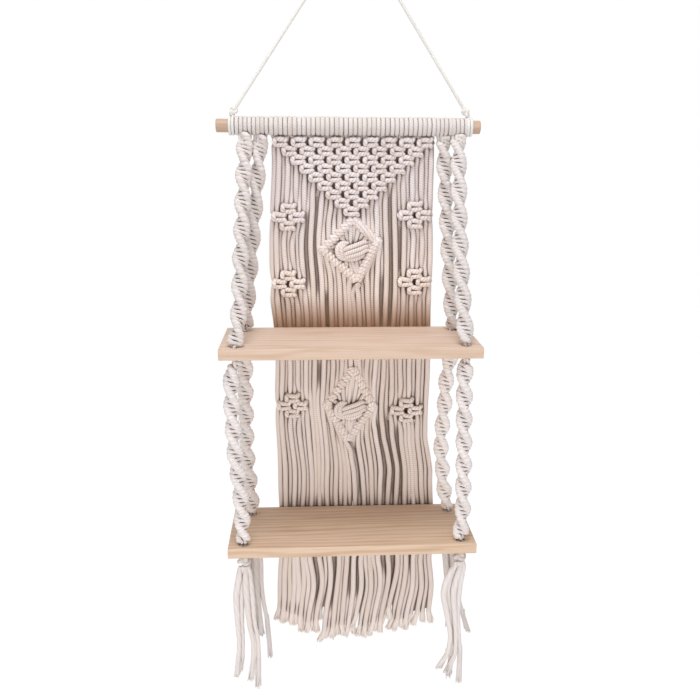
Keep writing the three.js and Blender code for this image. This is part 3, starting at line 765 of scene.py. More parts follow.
class MakeBoards(bpy.types.Operator):
    """Cut the two drilled pine boards with eased edges"""

    bl_idname = "rope_shelf.boards"
    bl_label = "Pine boards"

    def execute(self, context):
        self.cut("upper", 0.0, UPPER_TOP, "pine")
        # The lower board takes a darker, browner copy of the pine: painted shade and brown bounce
        # light under the upper board.
        self.cut("lower", LOWER_ASIDE, LOWER_TOP, "pine_low")
        return {"FINISHED"}

    def cut(self, which, aside, top, finish):
        name = f"{which}_pine_board"
        outline = bpy.data.curves.new(name, "CURVE")
        outline.dimensions = "2D"
        outline.fill_mode = "BOTH"
        outline.extrude = (BOARD_THICK / 2 - BOARD_EASE) / 1000.0
        outline.bevel_depth = BOARD_EASE / 1000.0
        outline.bevel_resolution = 3
        outline.offset = -BOARD_EASE / 1000.0
        w, d = BOARD_WIDE / 2, BOARD_DEEP / 2
        loops = [[(-w, -d), (w, -d), (w, d), (-w, d)]]
        angles = [2 * math.pi * s / HOLE_SIDES for s in range(HOLE_SIDES)]
        for x, y in HOLES.values():
            loops.append(
                [(x + HOLE_RADIUS * math.cos(a), y - HOLE_RADIUS * math.sin(a)) for a in angles]
            )
        for loop in loops:
            spline = outline.splines.new("POLY")
            spline.points.add(len(loop) - 1)
            spline.use_cyclic_u = True
            for point, (x, y) in zip(spline.points, loop):
                point.co = (x / 1000.0, y / 1000.0, 0.0, 1.0)
        raw = plain_mesh(new_object(name, outline), name + "_raw")
        made = bmesh.new()
        made.from_mesh(raw.data)
        discard(raw)
        middle = row((aside, 0.0, top - BOARD_THICK / 2))
        bmesh.ops.translate(made, verts=made.verts, vec=middle)
        piece = mesh_piece(name, made, FINISHES[finish], 35.0)
        seat(piece, f"{which}_board", "pine_board", f"{which}_shelf")


# Carrying ropes

HALF_KNOT = 6.0
SPIRAL_OUT = 7.0
SPIRAL_DEEP = 3.4
# One cord over a half knot: aside and back as shares of the two radii, down as half knots, and
# its share of the cord's thickness. It goes over the next one the other way round.
HALF_ROUND = (
    (-0.35, -0.95, 0.0, 0.88),
    (0.0, -1.0, 0.0, 0.87),
    (0.35, -1.0, 0.02, 0.88),
    (0.78, -0.92, 0.08, 1.15),
    (1.07, -0.5, 0.3, 1.32),
    (1.14, 0.0, 0.55, 1.34),
    (1.0, 0.55, 0.82, 1.25),
    (0.7, 0.9, 0.95, 1.0),
)
WORKING_CORD = HALF_ROUND + tuple((-a, -b, fall + 1.0, t) for a, b, fall, t in HALF_ROUND)
# Each rope's half turn, the run to its first waist, and how far it hangs aside of the straight
# line at shares of its length
UPPER_ROPES = {
    "front_left": (38.4, 37.0, ((0.0, 2.3), (0.5, 3.1), (0.9, 3.6), (1.0, 0.0))),
    "front_right": (38.1, 23.8, ((0.0, -2.3), (0.5, -4.5), (0.85, -2.9), (1.0, 0.0))),
    "rear_left": (41.9, 33.7, ((0.0, 0.0), (1.0, 0.0))),
    "rear_right": (39.1, 21.6, ((0.0, 0.0), (1.0, 0.0))),
}
LOWER_ROPES = {
    "front_left": (
        33.5,
        13.3,
        ((0, 0), (0.08, -6), (0.2, -7), (0.42, -6.6), (0.55, -5), (0.68, -1), (1, 0.5)),
    ),
    "front_right": (33.4, 5.3, ((0, 0), (0.1, -1), (0.3, 0.3), (0.6, 2), (0.85, 2.4), (1, 0))),
    "rear_left": (34.5, 21.8, ((0, 0), (0.25, -3.2), (0.6, -4.6), (1, 0))),
    "rear_right": (34.8, 10.5, ((0, 0), (0.3, -7.5), (0.6, -12), (0.8, -8.5), (1, 0))),
}
LINE_STEPS = 24
HOLE_BUNDLE = 2.3
# Thickness of the cords where they pass a neck or a hole, and of the core inside the knots
NECK_THICK = 0.78
HOLE_THICK = 0.79
CORE_THICK = 0.55
# Width and depth of the spiral at a neck, as shares of those further on
NECK_OUT = 0.42
NECK_DEEP = 0.75


def bowed(start, end, bows):
    """Points of a rope from start to end that hangs aside as its bows say."""
    places = [place for place, _ in bows]
    line = []
    for share in even_shares(LINE_STEPS):
        i, between = segment(places, share)
        line.append(start.lerp(end, share))
        line[-1].x += mix(bows[i][1], bows[i + 1][1], smooth(between))
    return line


def bundle(number, spread):
    """Where each of the four cords lies when they pass a hole side by side."""
    angle = math.pi / 4 + math.pi / 2 * (0, 2, 1, 3)[number]
    reach = HOLE_BUNDLE * math.sqrt(2.0) * spread
    return reach * math.cos(angle), reach * math.sin(angle)


def rope_cords(line, seed, half_turn, waist, start_wide, end_straight):
    """The four cords of a spiral of half knots along a line of points.

    start_wide says that the rope begins at full width, and end_straight is the length at its
    end that passes straight through a hole.
    """
    lengths = [0.0]
    for a, b in zip(line, line[1:]):
        lengths.append(lengths[-1] + (b - a).length)
    total = lengths[-1]

    def at(run):
        i, share = segment(lengths, run)
        return line[i].lerp(line[i + 1], share)

    def place(run, aside, back):
        """A point of the rope's own turning frame."""
        down = (at(run + 4.0) - at(run - 4.0)).normalized()
        right = (Vector((1.0, 0.0, 0.0)) - down * down.x).normalized()
        rear = right.cross(down).normalized()
        if rear.y < 0:
            rear = -rear
        angle = math.pi * (run - waist) / half_turn + math.pi / 2
        return (
            at(run)
            + right * (aside * math.cos(angle) - back * math.sin(angle))
            + rear * (aside * math.sin(angle) + back * math.cos(angle))
        )

    knotted_end = total - end_straight - 2.0

    def swell(run):
        """How far the spiral has opened out, from the neck to its full width."""
        start = 1.0 if start_wide else min(max((run + 3.0) / 8.0, 0.0), 1.0)
        end = min(max((knotted_end + 3.0 - run) / 7.0, 0.0), 1.0)
        return math.sin(min(start, end) * math.pi / 2)

    cords = []
    for number in range(2):
        cord = Cord(f"{seed}{number}")
        draw = random.Random(f"{seed}w{number}")
        if not start_wide:
            cord.through(place(0.0, *bundle(number, 0.8)), NECK_THICK)
        first = (1.0 if start_wide else 3.0) + number * HALF_KNOT
        knot = 0
        while first + knot * HALF_KNOT < knotted_end - HALF_KNOT:
            for aside, back, fall, thick in WORKING_CORD:
                run = first + (knot + fall) * HALF_KNOT
                if run < 0 or run > knotted_end:
                    continue
                opened = swell(run)
                out = mix(NECK_OUT, 1.0, opened) * SPIRAL_OUT * draw.uniform(0.96, 1.05)
                deep = mix(NECK_DEEP, 1.0, opened) * SPIRAL_DEEP * draw.uniform(0.97, 1.04)
                cord.through(place(run, aside * out, back * deep), mix(0.8, thick, opened))
            knot += 2
        if end_straight:
            for run in (total - end_straight, total - end_straight / 2, total):
                cord.through(place(run, *bundle(number, 1.0)), HOLE_THICK)
        else:
            cord.through(place(total, *bundle(number, 0.8)), NECK_THICK)
        cords.append(cord)
    for filler in range(2):
        cord = Cord(f"{seed}f{filler}")
        for step in range(LINE_STEPS + 1):
            run = total * step / LINE_STEPS
            inside = swell(run) if run < total - end_straight else 0.0
            aside, back = bundle(2 + filler, mix(1.0, CORE_THICK, inside))
            cord.through(place(run, aside, back), mix(HOLE_THICK, CORE_THICK, inside))
        cords.append(cord)
    return cords


class MakeCarryingRopes(bpy.types.Operator):
    """Knot the eight lengths of spiral rope that carry the boards"""

    bl_idname = "rope_shelf.carrying_ropes"
    bl_label = "Carrying ropes"

    def execute(self, context):
        for corner, (x, y) in HOLES.items():
            cords = self.upper(corner, x, y)
            self.lay("upper", corner, cords, "rope", "upper_board")
            half_turn, waist, bows = LOWER_ROPES[corner]
            top = Vector((x, y, UPPER_TOP - BOARD_THICK - 2.6))
            bottom = Vector((x + LOWER_ASIDE, y, LOWER_TOP + 2.6))
            line = bowed(top, bottom, bows)
            cords = rope_cords(line, "lower" + corner, half_turn, waist, False, 0.0)
            # The lower ropes take lighter copies of the rope's colour, as painted light; the rear
            # ones are lighter still.
            if corner.startswith("front"):
                self.lay("lower", corner, cords, "rope_low", "lower_front_ropes")
            else:
                self.lay("lower", corner, cords, "rope_rear", "lower_rear_ropes")
        return {"FINISHED"}

    def lay(self, level, corner, cords, finish, body):
        name = f"spiral_rope_{level}_{corner}"
        radius = rope_radius("carrying_cord")
        piece = lay_cords(name, cords, radius, FINISHES[finish], spacing=ROPE_RINGS)
        seat(piece, body, "cotton_rope", f"{level}_rope_{corner}")

    def upper(self, corner, x, y):
        """The cords from the loops on the dowel to the upper board and through its hole."""
        half_turn, waist, bows = UPPER_ROPES[corner]
        middle = ROPE_LOOPS[MOUNTS[corner]]
        mount = Vector((middle, DOWEL_Y, DOWEL_Z))
        entry = Vector((x, y, UPPER_TOP + 2.0))
        towards = entry - mount
        towards.x = 0.0
        line = bowed(mount + towards.normalized() * (WRAP_RADIUS + 0.6), entry, bows)
        line.append(Vector((x, y, UPPER_TOP - BOARD_THICK / 2)))
        line.append(Vector((x, y, UPPER_TOP - BOARD_THICK + 0.2)))
        cords = rope_cords(line, "upper" + corner, half_turn, waist, True, BOARD_THICK)
        for number, aside in enumerate(side_by_side(0.0, ROPE_CORDS, ROPE_LOOP_PITCH)):
            deep = -2.2 if number in (1, 2) else 0.8
            cord = Cord(f"neck{corner}{number}")
            cord.through((middle + aside * 0.8, DOWEL_Y + deep, DOWEL_Z - 10.6), 0.95)
            cord.through(line[0] + Vector((aside * 0.78, deep, 0.5)))
            cord.through(line[1] + Vector((aside * 0.62, deep * 0.8, 0.0)))
            cord.through(line[2] + Vector((aside * 0.3, 0.0, 0.0)), 0.6)
            cords.append(cord)
        return cords


# Panel

STRAND_RADIUS = 3.7
# Drop below the dowel's axis, middle and width of the panel
PANEL_LEVELS = (
    (13.0, 7.3, 226.5),
    (86.0, 6.5, 229.0),
    (171.0, 6.3, 234.5),
    (244.0, 7.1, 236.0),
    (283.0, 8.5, 233.0),
    (338.0, 8.1, 230.5),
    (460.0, 10.0, 231.5),
    (510.0, 15.4, 240.0),
    (665.0, 16.6, 244.4),
    (720.0, 22.5, 247.0),
    (810.0, 22.5, 246.0),
)
# Clumps of the fringe: how many strands, where the first and the last end, and their drops
FRINGE_CLUMPS = (
    (6, -108.3, -74.3, 773.0, 786.0),
    (4, -67.9, -49.1, 797.0, 796.0),
    (1, -42.5, -42.5, 775.5, 775.5),
    (5, -35.3, -7.4, 813.0, 802.5),
    (3, -1.6, 9.1, 804.7, 805.0),
    (1, 15.6, 15.6, 788.4, 788.4),
    (3, 23.9, 38.0, 807.4, 807.8),
    (3, 44.5, 56.0, 800.5, 799.0),
    (2, 63.2, 68.8, 788.0, 775.0),
    (4, 76.6, 98.1, 796.0, 795.0),
    (4, 106.2, 135.8, 789.4, 783.0),
)
# The drop below which the strands hang loose, the gap between two ends that gets a cord behind
# it standing in for shade, how far the ends at the sides of a clump flare, and the yarns of an end
FRINGE_LOOSE = 620.0
FRINGE_GAP = 7.19
FRINGE_FLARE = 5.0
FRINGE_YARNS = 24
FRINGE_SPREAD = 3.3
# The triangle's rows of knots, the drop of the first and the step from one to the next
TRIANGLE_ROWS = 9
FIRST_ROW = 21.3
ROW_STEP = 11.8
# First strand and middle drop of each flower of four knots
FLOWERS = {
    "left": ((0, 124.0), (0, 219.5), (0, 404.7)),
    "right": ((28, 121.1), (28, 217.2), (27, 414.2)),
}
# Corners of the ridges' middle lines, the drop that the strands are spread at, and the band
DIAMONDS = {
    "upper": {
        "top": (7.4, 127.0),
        "left": (-35.4, 170.2),
        "right": (43.0, 158.5),
        "bottom": (13.6, 215.0),
        "level": 164.0,
        "band": (6.6, 170.5),
    },
    "lower": {
        "top": (10.2, 346.5),
        "left": (-30.0, 404.0),
        "right": (40.0, 407.5),
        "bottom": (2.4, 460.5),
        "level": 409.0,
        "band": (5.2, 411.4),
    },
}
DIAMOND_FIRST = 12
DIAMOND_LAST = 23
# Strands that hang behind their neighbours, and between which drops
SET_BACK = {
    3: ((620.0, 740.0),),
    5: ((610.0, 735.0),),
    8: ((122.0, 222.0), (610.0, 745.0)),
    9: ((392.0, 555.0),),
    10: ((98.0, 238.0), (338.0, 372.0)),
    12: ((235.0, 335.0), (612.0, 750.0)),
    15: ((466.0, 560.0),),
    16: ((600.0, 725.0),),
    17: ((228.0, 285.0),),
    18: ((463.0, 560.0), (600.0, 730.0)),
    21: ((600.0, 680.0),),
    24: ((205.0, 285.0), (428.0, 560.0), (600.0, 690.0)),
    26: ((88.0, 285.0), (425.0, 560.0), (600.0, 725.0)),
    28: ((140.0, 200.0), (440.0, 560.0)),
    30: ((600.0, 690.0),),
    31: ((440.0, 560.0),),
}
SET_BACK_BY = 6.5
KNOT_UNIT = Vector((6.05, 5.2, 5.0))
KNOT_REACH = 7.8
KNOT_THICK = 1.16
# Paths through the upper half of a square knot, which the lower half mirrors: aside, up and
# towards the viewer in cord thicknesses
OVER_PATH = (
    (-1.6, 1.25, -0.8),
    (-1.3, 0.98, -0.5),
    (-1.0, 0.8, 0.15),
    (-0.5, 0.74, 0.85),
    (0.1, 0.73, 1.1),
    (0.65, 0.62, 0.95),
    (1.02, 0.42, 0.35),
    (1.5, 0.3, -0.8),
    (1.85, 0.0, -1.35),
)
UNDER_PATH = (
    (1.6, 1.25, -0.8),
    (1.4, 0.98, 0.25),
    (1.12, 0.66, 0.85),
    (0.85, 0.35, 0.4),
    (0.45, 0.35, -0.9),
    (-0.2, 0.5, -1.1),
    (-0.85, 0.72, -0.8),
    (-1.18, 0.8, 0.0),
    (-1.34, 0.5, 0.85),
    (-1.38, 0.0, 1.15),
)
RIDGE_REACH = 4.0
RIDGE_DEEP = 2.9
RIDGE_THICK = 1.26
RIDGE_STEPS = 13
HANG_THICK = 1.27
# The strands' places aside of a band's middle, counted outwards
GATHER = (1.6, 4.7, 7.8, 10.8, 13.6, 16.2)
# The band of a diamond: aside, up and towards the viewer from its middle, in millimetres
BAND_PATHS = (
    ((-5.6, 8.7, 1), (-14, 9.9, 4), (-20, 5.2, 6.5), (-21.4, -1.4, 7), (-19, -8.5, 6.5),
     (-12.7, -12.4, 4), (-4.2, -12.7, 0)),
    ((-8, 6.5, 1), (-14.4, 5, 6), (-15.8, -1, 8), (-14, -7.4, 6), (-8, -10, 1)),
    ((-12.7, 0, 5), (-1.4, 4.8, 7.5), (9.9, 8.7, 7), (17.6, 11.4, 4), (20.5, 9, -1),
     (12, 5, -5.5), (-6, 2, -5.4)),
    ((-11.3, -5.6, 5), (0, -1.6, 8), (11.3, 2.2, 7.5), (19.7, 5.2, 4), (22, 2, -1),
     (12, -1, -5.5), (-8, -1, -5.4)),
    ((-9.9, -10.6, 4), (1.4, -7.6, 7.5), (12.7, -3.9, 7), (21, 0, 4), (22, -4, -1),
     (12, -6, -5.5), (-8, -6, -5.4)),
    ((-6, -14, 2), (2.8, -13, 5.5), (11.3, -9.9, 5), (17.4, -6.5, 1.5), (12, -8, -4)),
)
# How far above and below a diamond the strands are still spread by it
SPREAD_REACH = 45.0
# How far the panel leans out to its loops at its top, and over which fall that fades
TOP_LEAN = 5.0
TOP_DROP = 13.0
TOP_FADE = 12.0
# The strands' sway: its share, its length down the panel and its shift from strand to strand
SWAYS = ((1.0, 41.0, 0.34), (0.6, 23.0, -0.55))
STRANDS_APART = 2.2
BEND_EVERY = 17.0
LOOSE_FADE = 60.0


def panel_level(drop):
    """The panel's middle and width at a drop."""
    i, share = segment([level[0] for level in PANEL_LEVELS], drop)
    _, *above = PANEL_LEVELS[i]
    _, *below = PANEL_LEVELS[i + 1]
    return [mix(a, b, share) for a, b in zip(above, below)]


def even_x(index, drop):
    """Where a strand hangs if all are evenly spaced."""
    middle, width = panel_level(drop)
    pitch = (width - 2 * STRAND_RADIUS) / (PANEL_CORDS - 1)
    return middle + (index - (PANEL_CORDS - 1) / 2) * pitch


def strand_x(index, drop):
    """Where a strand hangs: evenly spaced, but spread to the corners of a diamond."""
    x = even_x(index, drop)
    room = RIDGE_REACH + 3.0
    for diamond in DIAMONDS.values():
        near = math.exp(-(((drop - diamond["level"]) / SPREAD_REACH) ** 2))
        left, right = diamond["left"][0], diamond["right"][0]
        if index < DIAMOND_FIRST:
            spread = mix(even_x(0, drop), left - room, index / (DIAMOND_FIRST - 1))
        elif index > DIAMOND_LAST:
            from_edge = (PANEL_CORDS - 1 - index) / (PANEL_CORDS - 2 - DIAMOND_LAST)
            spread = mix(even_x(PANEL_CORDS - 1, drop), right + room, from_edge)
        else:
            inside = (index - DIAMOND_FIRST) / (DIAMOND_LAST - DIAMOND_FIRST)
            spread = mix(left - 2.0, right + 2.0, inside)
        x = mix(x, spread, near)
    return x


def fringe_tip(index):
    """Where a strand's frayed end hangs, aside and drop, and how far it flares aside."""
    first = 0
    for count, x_first, x_last, drop_first, drop_last in FRINGE_CLUMPS:
        if index < first + count:
            share = (index - first) / max(1, count - 1)
            flare = FRINGE_FLARE * (2.0 * share - 1.0) if count > 1 else 0.0
            return mix(x_first, x_last, share), mix(drop_first, drop_last, share), flare
        first += count
    raise ValueError(f"no clump of the fringe holds strand {index}")


def panel_point(x, drop, out=0.0):
    """A point of the panel, out being towards the viewer; its top leans out to its loops."""
    lean = TOP_LEAN * math.exp((TOP_DROP - drop) / TOP_FADE)
    return Vector((x, PANEL_Y + 0.9 - out - lean, DOWEL_Z - drop))


class Strand:
    """One of the panel's cords, followed from the dowel down to its end."""

    def __init__(self, index):
        self.index = index
        self.cord = Cord(f"panel{index}")
        self.drop = 12.9
        self.draw = random.Random(f"sway{index}")
        self.cord.through(panel_point(strand_x(index, TOP_DROP), self.drop, 0.6), 0.95)

    def x(self, drop):
        """Where the strand hangs at a drop; neighbours sway together."""
        i = self.index
        loose = 0.9 + 0.9 * min(drop / 500.0, 1.0)
        wave = sum(share * math.sin(drop / length + shift * i) for share, length, shift in SWAYS)
        own = 0.3 * math.sin(drop / 33.0 + 2.4 * i)
        hanging = strand_x(i, drop) + loose * wave * 0.8 + own
        tip_x, tip_drop, _ = fringe_tip(i)
        share = smooth((drop - FRINGE_LOOSE) / (tip_drop - FRINGE_LOOSE)) ** 1.7
        free = smooth((drop - FRINGE_LOOSE) / LOOSE_FADE) * (1.0 - share)
        if any(start >= 600.0 for start, _ in SET_BACK.get(i, ())):
            free = 0.0
        wander = 2.0 * math.sin(drop / 24.0 + 0.9 * (i // 2)) * free
        return mix(hanging, tip_x, share) + wander

    def depth(self, drop):
        """How far forward it hangs: neighbours alternate, and some hang behind the others."""
        out = STRANDS_APART * (1 if self.index % 2 else -1) - STRANDS_APART
        for start, end in SET_BACK.get(self.index, ()):
            out -= SET_BACK_BY * smooth(min(drop - start, end - drop) / 14.0 + 0.5)
        return out

    def hang(self, to_drop):
        """Down to a drop, with a bend every couple of centimetres."""
        gap = to_drop - self.drop
        bends = max(1, round(gap / BEND_EVERY))
        for bend in range(1, bends):
            drop = self.drop + gap * bend / bends
            out = self.depth(drop)
            thick = HANG_THICK + 0.16 * smooth((drop - FRINGE_LOOSE) / LOOSE_FADE)
            # A cord behind the others fills the gap that it is seen through
            thick += 0.4 if out < -6.0 else 0.12 if out < -4.0 else -0.04
            self.cord.through(panel_point(self.x(drop), drop, out), thick)
        self.drop = to_drop

    def knot(self, first, drop):
        """Through the square knot over four strands at a drop."""
        role = self.index - first
        x = strand_x(first + 1.5, drop)
        if role in (1, 2):
            self.hang(drop - 4.0)
            aside = (role - 1.5) * KNOT_UNIT.x * 0.98
            for fall in (-4.0, 0.0, 4.0):
                self.cord.through(panel_point(x + aside, drop + fall, -0.2), 0.95)
            self.drop = drop + 4.0
            return
        self.hang(drop - KNOT_REACH)
        path = OVER_PATH if role == 0 else UNDER_PATH
        shape = random.Random(f"knot{first}-{drop:.1f}")
        tilt = shape.uniform(-0.07, 0.05)
        swell = shape.uniform(0.97, 1.04)
        for aside, up, out in path + tuple((a, -u, o) for a, u, o in reversed(path[:-1])):
            aside += self.draw.uniform(-0.04, 0.04)
            up += aside * tilt + self.draw.uniform(-0.04, 0.04)
            across = aside * KNOT_UNIT.x * swell
            at = panel_point(x + across, drop - up * KNOT_UNIT.y, out * KNOT_UNIT.z)
            self.cord.through(at, KNOT_THICK * self.draw.uniform(0.96, 1.04))
        self.drop = drop + KNOT_REACH

    def triangle(self):
        """Through the rows of the knotted triangle that hold this strand."""
        rows = min(self.index, PANEL_CORDS - 1 - self.index) // 2 + 1
        for number in range(min(rows, TRIANGLE_ROWS)):
            within = (self.index - 2 * number) % 4
            self.knot(self.index - within, FIRST_ROW + ROW_STEP * number)

    def flowers(self):
        """Through the flowers that hold this strand, each of two knots with one above and below."""
        for first, drop in FLOWERS["left"] + FLOWERS["right"]:
            place = self.index - first
            if 0 <= place < 8:
                inner = 2 <= place <= 5
                if inner:
                    self.knot(first + 2, drop - ROW_STEP)
                self.knot(first + (0 if place < 4 else 4), drop)
                if inner:
                    self.knot(first + 2, drop + ROW_STEP)

    def ridge(self, diamond, below):
        """Three half turns round the leader of a diamond's edge."""
        count = (DIAMOND_LAST - DIAMOND_FIRST + 1) // 2
        place = self.index - DIAMOND_FIRST
        right = place >= count
        from_tip = place - count if right else count - 1 - place
        tip = Vector(diamond["bottom" if below else "top"])
        corner = Vector(diamond["right" if right else "left"])
        along = (corner - tip).normalized()
        inside = Vector(diamond["band"]) - tip
        inward = (inside - along * inside.dot(along)).normalized()
        advance = (corner - tip).length / count
        middle = tip.lerp(corner, (from_tip + 0.45) / (count - 0.35))
        if not below:
            self.hang(middle.y - 12.0)
        for turned in even_shares(RIDGE_STEPS):
            angle = 3.0 * math.pi * turned
            across = math.cos(angle) * (1.0 if below else -1.0)
            at = middle + along * ((turned - 0.5) * advance * 0.72)
            at += inward * (RIDGE_REACH * across)
            out = RIDGE_DEEP * math.sin(angle) + 1.2
            self.cord.through(panel_point(at.x, at.y, out), RIDGE_THICK)
        self.drop = at.y

    def diamond(self, which):
        """Over a diamond's upper edge, under the band in its middle and over its lower edge."""
        diamond = DIAMONDS[which]
        self.ridge(diamond, False)
        place = self.index - (DIAMOND_FIRST + DIAMOND_LAST) / 2
        aside = math.copysign(GATHER[int(abs(place))], place)
        band = Vector(diamond["band"])
        out = 1.5 * (1 if self.index % 2 else -1) - 1.5
        squeeze = 1.0 - 0.09 * abs(place)
        for fall, wide in ((-10.0, 1.12), (-4.0, 1.0), (4.0, 1.0), (10.0, 1.12)):
            at = panel_point(band.x + aside * wide, band.y + fall * squeeze, out)
            self.cord.through(at, 0.95)
        self.ridge(diamond, True)
        self.drop += 5.0

    def end(self):
        """Down to where it frays."""
        _, tip_drop, _ = fringe_tip(self.index)
        self.hang(tip_drop - 34.0)
        for above in (34.0, 20.0):
            drop = tip_drop - above
            self.cord.through(panel_point(self.x(drop), drop, self.depth(drop)), HANG_THICK)
        return self.cord


def along_panel(seed, stops):
    """A cord through places of the panel: aside, drop, towards the viewer and thickness."""
    return Cord(seed, [(panel_point(x, drop, out), thick) for x, drop, out, thick in stops])


def diamond_trim(which):
    """A diamond's band, the leaders of its edges and cords behind it that stand in for shade."""
    diamond = DIAMONDS[which]
    top, bottom, band = (Vector(diamond[part]) for part in ("top", "bottom", "band"))
    cords = []
    for number, path in enumerate(BAND_PATHS):
        stops = [(band.x + aside, band.y - up, out, 1.12) for aside, up, out in path]
        cords.append(along_panel(f"band{which}{number}", stops))
    # Cords behind the tips, put where there is only shade, so that the gaps there read dark
    for tip, aside, above, below in (
        (top, 0.0, 40.0, 8.0),
        (top, -7.5, 40.0, 8.0),
        (bottom, 0.0, 8.0, 105.0),
        (bottom, -5.0, -20.0, 105.0),
    ):
        stops = []
        for fall in (-above, (below - above) / 2, below):
            x = aside + (even_x(17.6, tip.y + fall) if abs(fall) > 10.0 else tip.x)
            stops.append((x, tip.y + fall, -6.5, 1.3))
        cords.append(along_panel(f"spare{which}{tip.y:.0f}{aside}", stops))
    for side in SIDES:
        corner = Vector(diamond[side])
        outward = (corner - band).normalized()
        path = (
            top - outward * 2.0,
            top.lerp(corner, 0.5),
            top.lerp(corner, 0.88),
            corner + outward * 1.2,
            bottom.lerp(corner, 0.88),
            bottom.lerp(corner, 0.5),
            bottom - outward * 2.0,
        )
        cords.append(along_panel(f"leader{which}{side}", [(*at, 1.2, 1.15) for at in path]))
        # Cords behind the inner corners, put where there is only shade, so that the gaps there read
        # dark
        for number in range(3):
            share = 0.2 + 0.19 * number
            upper, lower = corner.lerp(top, share), corner.lerp(bottom, share)
            middle = upper.lerp(lower, 0.5)
            stops = ((*upper, -3.5, 1.2), (*middle, -6.0, 1.25), (*lower, -3.5, 1.2))
            cords.append(along_panel(f"spare{which}{side}{number}", stops))
    return cords


def flower_back(side):
    """Short cords behind a side's flowers, standing in for the shade in the gaps between knots."""
    cords = []
    for first, drop in FLOWERS[side]:
        for number in (-0.3, 0.5, 1.7, 3.5, 5.4, 6.5)[first != 27 :]:
            x = strand_x(first + number, drop)
            bends = ((-18.0, -6.5), (-8.0, -7.6), (0.0, -8.2), (8.0, -7.6), (18.0, -6.5))
            stops = [(x, drop + fall, out, 1.2) for fall, out in bends]
            cords.append(along_panel(f"flower{first}{drop:.0f}{number}", stops))
    return cords


def triangle_back():
    """Short cords behind the triangle's sloping edges and knot gaps, standing in for shade."""
    places = []
    for number in range(TRIANGLE_ROWS):
        drop = FIRST_ROW + ROW_STEP * number
        first, last = 2 * number - 0.4, PANEL_CORDS - 0.6 - 2 * number
        if number > 2:
            places += [(first, drop, 16.0, 1.2), (last, drop, 16.0, 1.2)]
        gaps = range(TRIANGLE_ROWS - 1 - number)
        places += [(first + 3.9 + 4 * gap, drop, 8.0, 0.9) for gap in gaps]
    cords = []
    for index, drop, reach, thick in places:
        bends = ((-reach, -5.5), (-reach / 3, -7.0), (reach / 3, -7.0), (reach, -5.5))
        stops = [(strand_x(index, drop + fall), drop + fall, out, thick) for fall, out in bends]
        cords.append(along_panel(f"back{index:.1f}{drop:.0f}", stops))
    return cords


def fringe_back():
    """Cords behind the gaps between the fringe's clumps, standing in for the shade there."""
    cords = []
    strands = [Strand(index) for index in range(PANEL_CORDS)]
    for left, right in zip(strands, strands[1:]):
        left_x, left_drop, _ = fringe_tip(left.index)
        right_x, right_drop, _ = fringe_tip(right.index)
        if right_x - left_x < FRINGE_GAP:
            continue
        # The starts are staggered, so that no line across the panel shows
        start = FRINGE_LOOSE - 30.0 + 37.0 * left.index % 50.0
        end = min(left_drop, right_drop) - 23.0
        stops = []
        bends = ((0.0, -2.0, 0.7), (0.3, -7.0, 1.1), (0.6, -7.8, 1.3), (1.0, -7.0, 0.9))
        for share, out, thick in bends:
            drop = mix(start, end, share)
            stops.append(((left.x(drop) + right.x(drop)) / 2, drop, out, thick))
        cords.append(along_panel(f"fringe back{left.index}", stops))
    return cords


class MakePanel(bpy.types.Operator):
    """Knot the panel: its triangle, flowers, diamonds and fringe"""

    bl_idname = "rope_shelf.panel"
    bl_label = "Knotted panel"

    def execute(self, context):
        # The cords behind the flowers, the triangle and the fringe are put where there is only
        # shade, so that their gaps read dark
        for side, strands in (("left", range(0, 8)), ("right", range(28, 36))):
            nodes = [f"{side}_flower_{level}" for level in ("upper", "middle", "lower")]
            self.lay(f"panel_{side}_flower_cords", strands, flower_back(side), nodes)
        spare = triangle_back() + fringe_back()
        self.lay("panel_plain_cords", (*range(8, 12), *range(24, 28)), spare, ["knot_triangle"])
        trim = diamond_trim("upper") + diamond_trim("lower")
        down = Vector((0.0, 0.0, -1.0))
        trim.append(trefoil(panel_point(15.4, 221.5, 2.2), down, 2.2, 2.2, "tip knot"))
        strands = range(DIAMOND_FIRST, DIAMOND_LAST + 1)
        self.lay("panel_diamond_cords", strands, trim, ["upper_diamond", "lower_diamond"])
        self.fray()
        return {"FINISHED"}

    def lay(self, name, strands, others, nodes):
        """A piece of the panel from its strands and the cords that go with them."""
        cords = []
        for index in strands:
            strand = Strand(index)
            strand.triangle()
            if DIAMOND_FIRST <= index <= DIAMOND_LAST:
                strand.diamond("upper")
                strand.diamond("lower")
            else:
                strand.flowers()
            cords.append(strand.end())
        piece = lay_cords(name, cords + others, rope_radius("panel_cord"), FINISHES["panel"])
        seat(piece, "cord_panel", "panel_cord", *nodes)

    def fray(self):
        """The frayed ends of all the strands."""
        brushes = []
        for index in range(PANEL_CORDS):
            strand = Strand(index)
            _, tip_drop, flare = fringe_tip(index)
            out = strand.depth(tip_drop)
            above, start = (
                panel_point(strand.x(drop), drop, out) for drop in (tip_drop - 32, tip_drop - 20)
            )
            fall = (start - above).normalized() * 20.0
            fall.x += flare + random.Random(f"lean{index}").uniform(-3.0, 3.0)
            brushes += brush(above, start, fall, f"fringe{index}", FRINGE_YARNS, FRINGE_SPREAD)
        seat(lay_yarns("panel_fringe_ends", brushes, "panel_brush"), "cord_panel", "panel_cord")


# Frayed ends


YARN_RADIUS = 1.15
# Angle from each yarn to the next, which spreads them evenly over the cord's section
YARN_TURN = 2.4


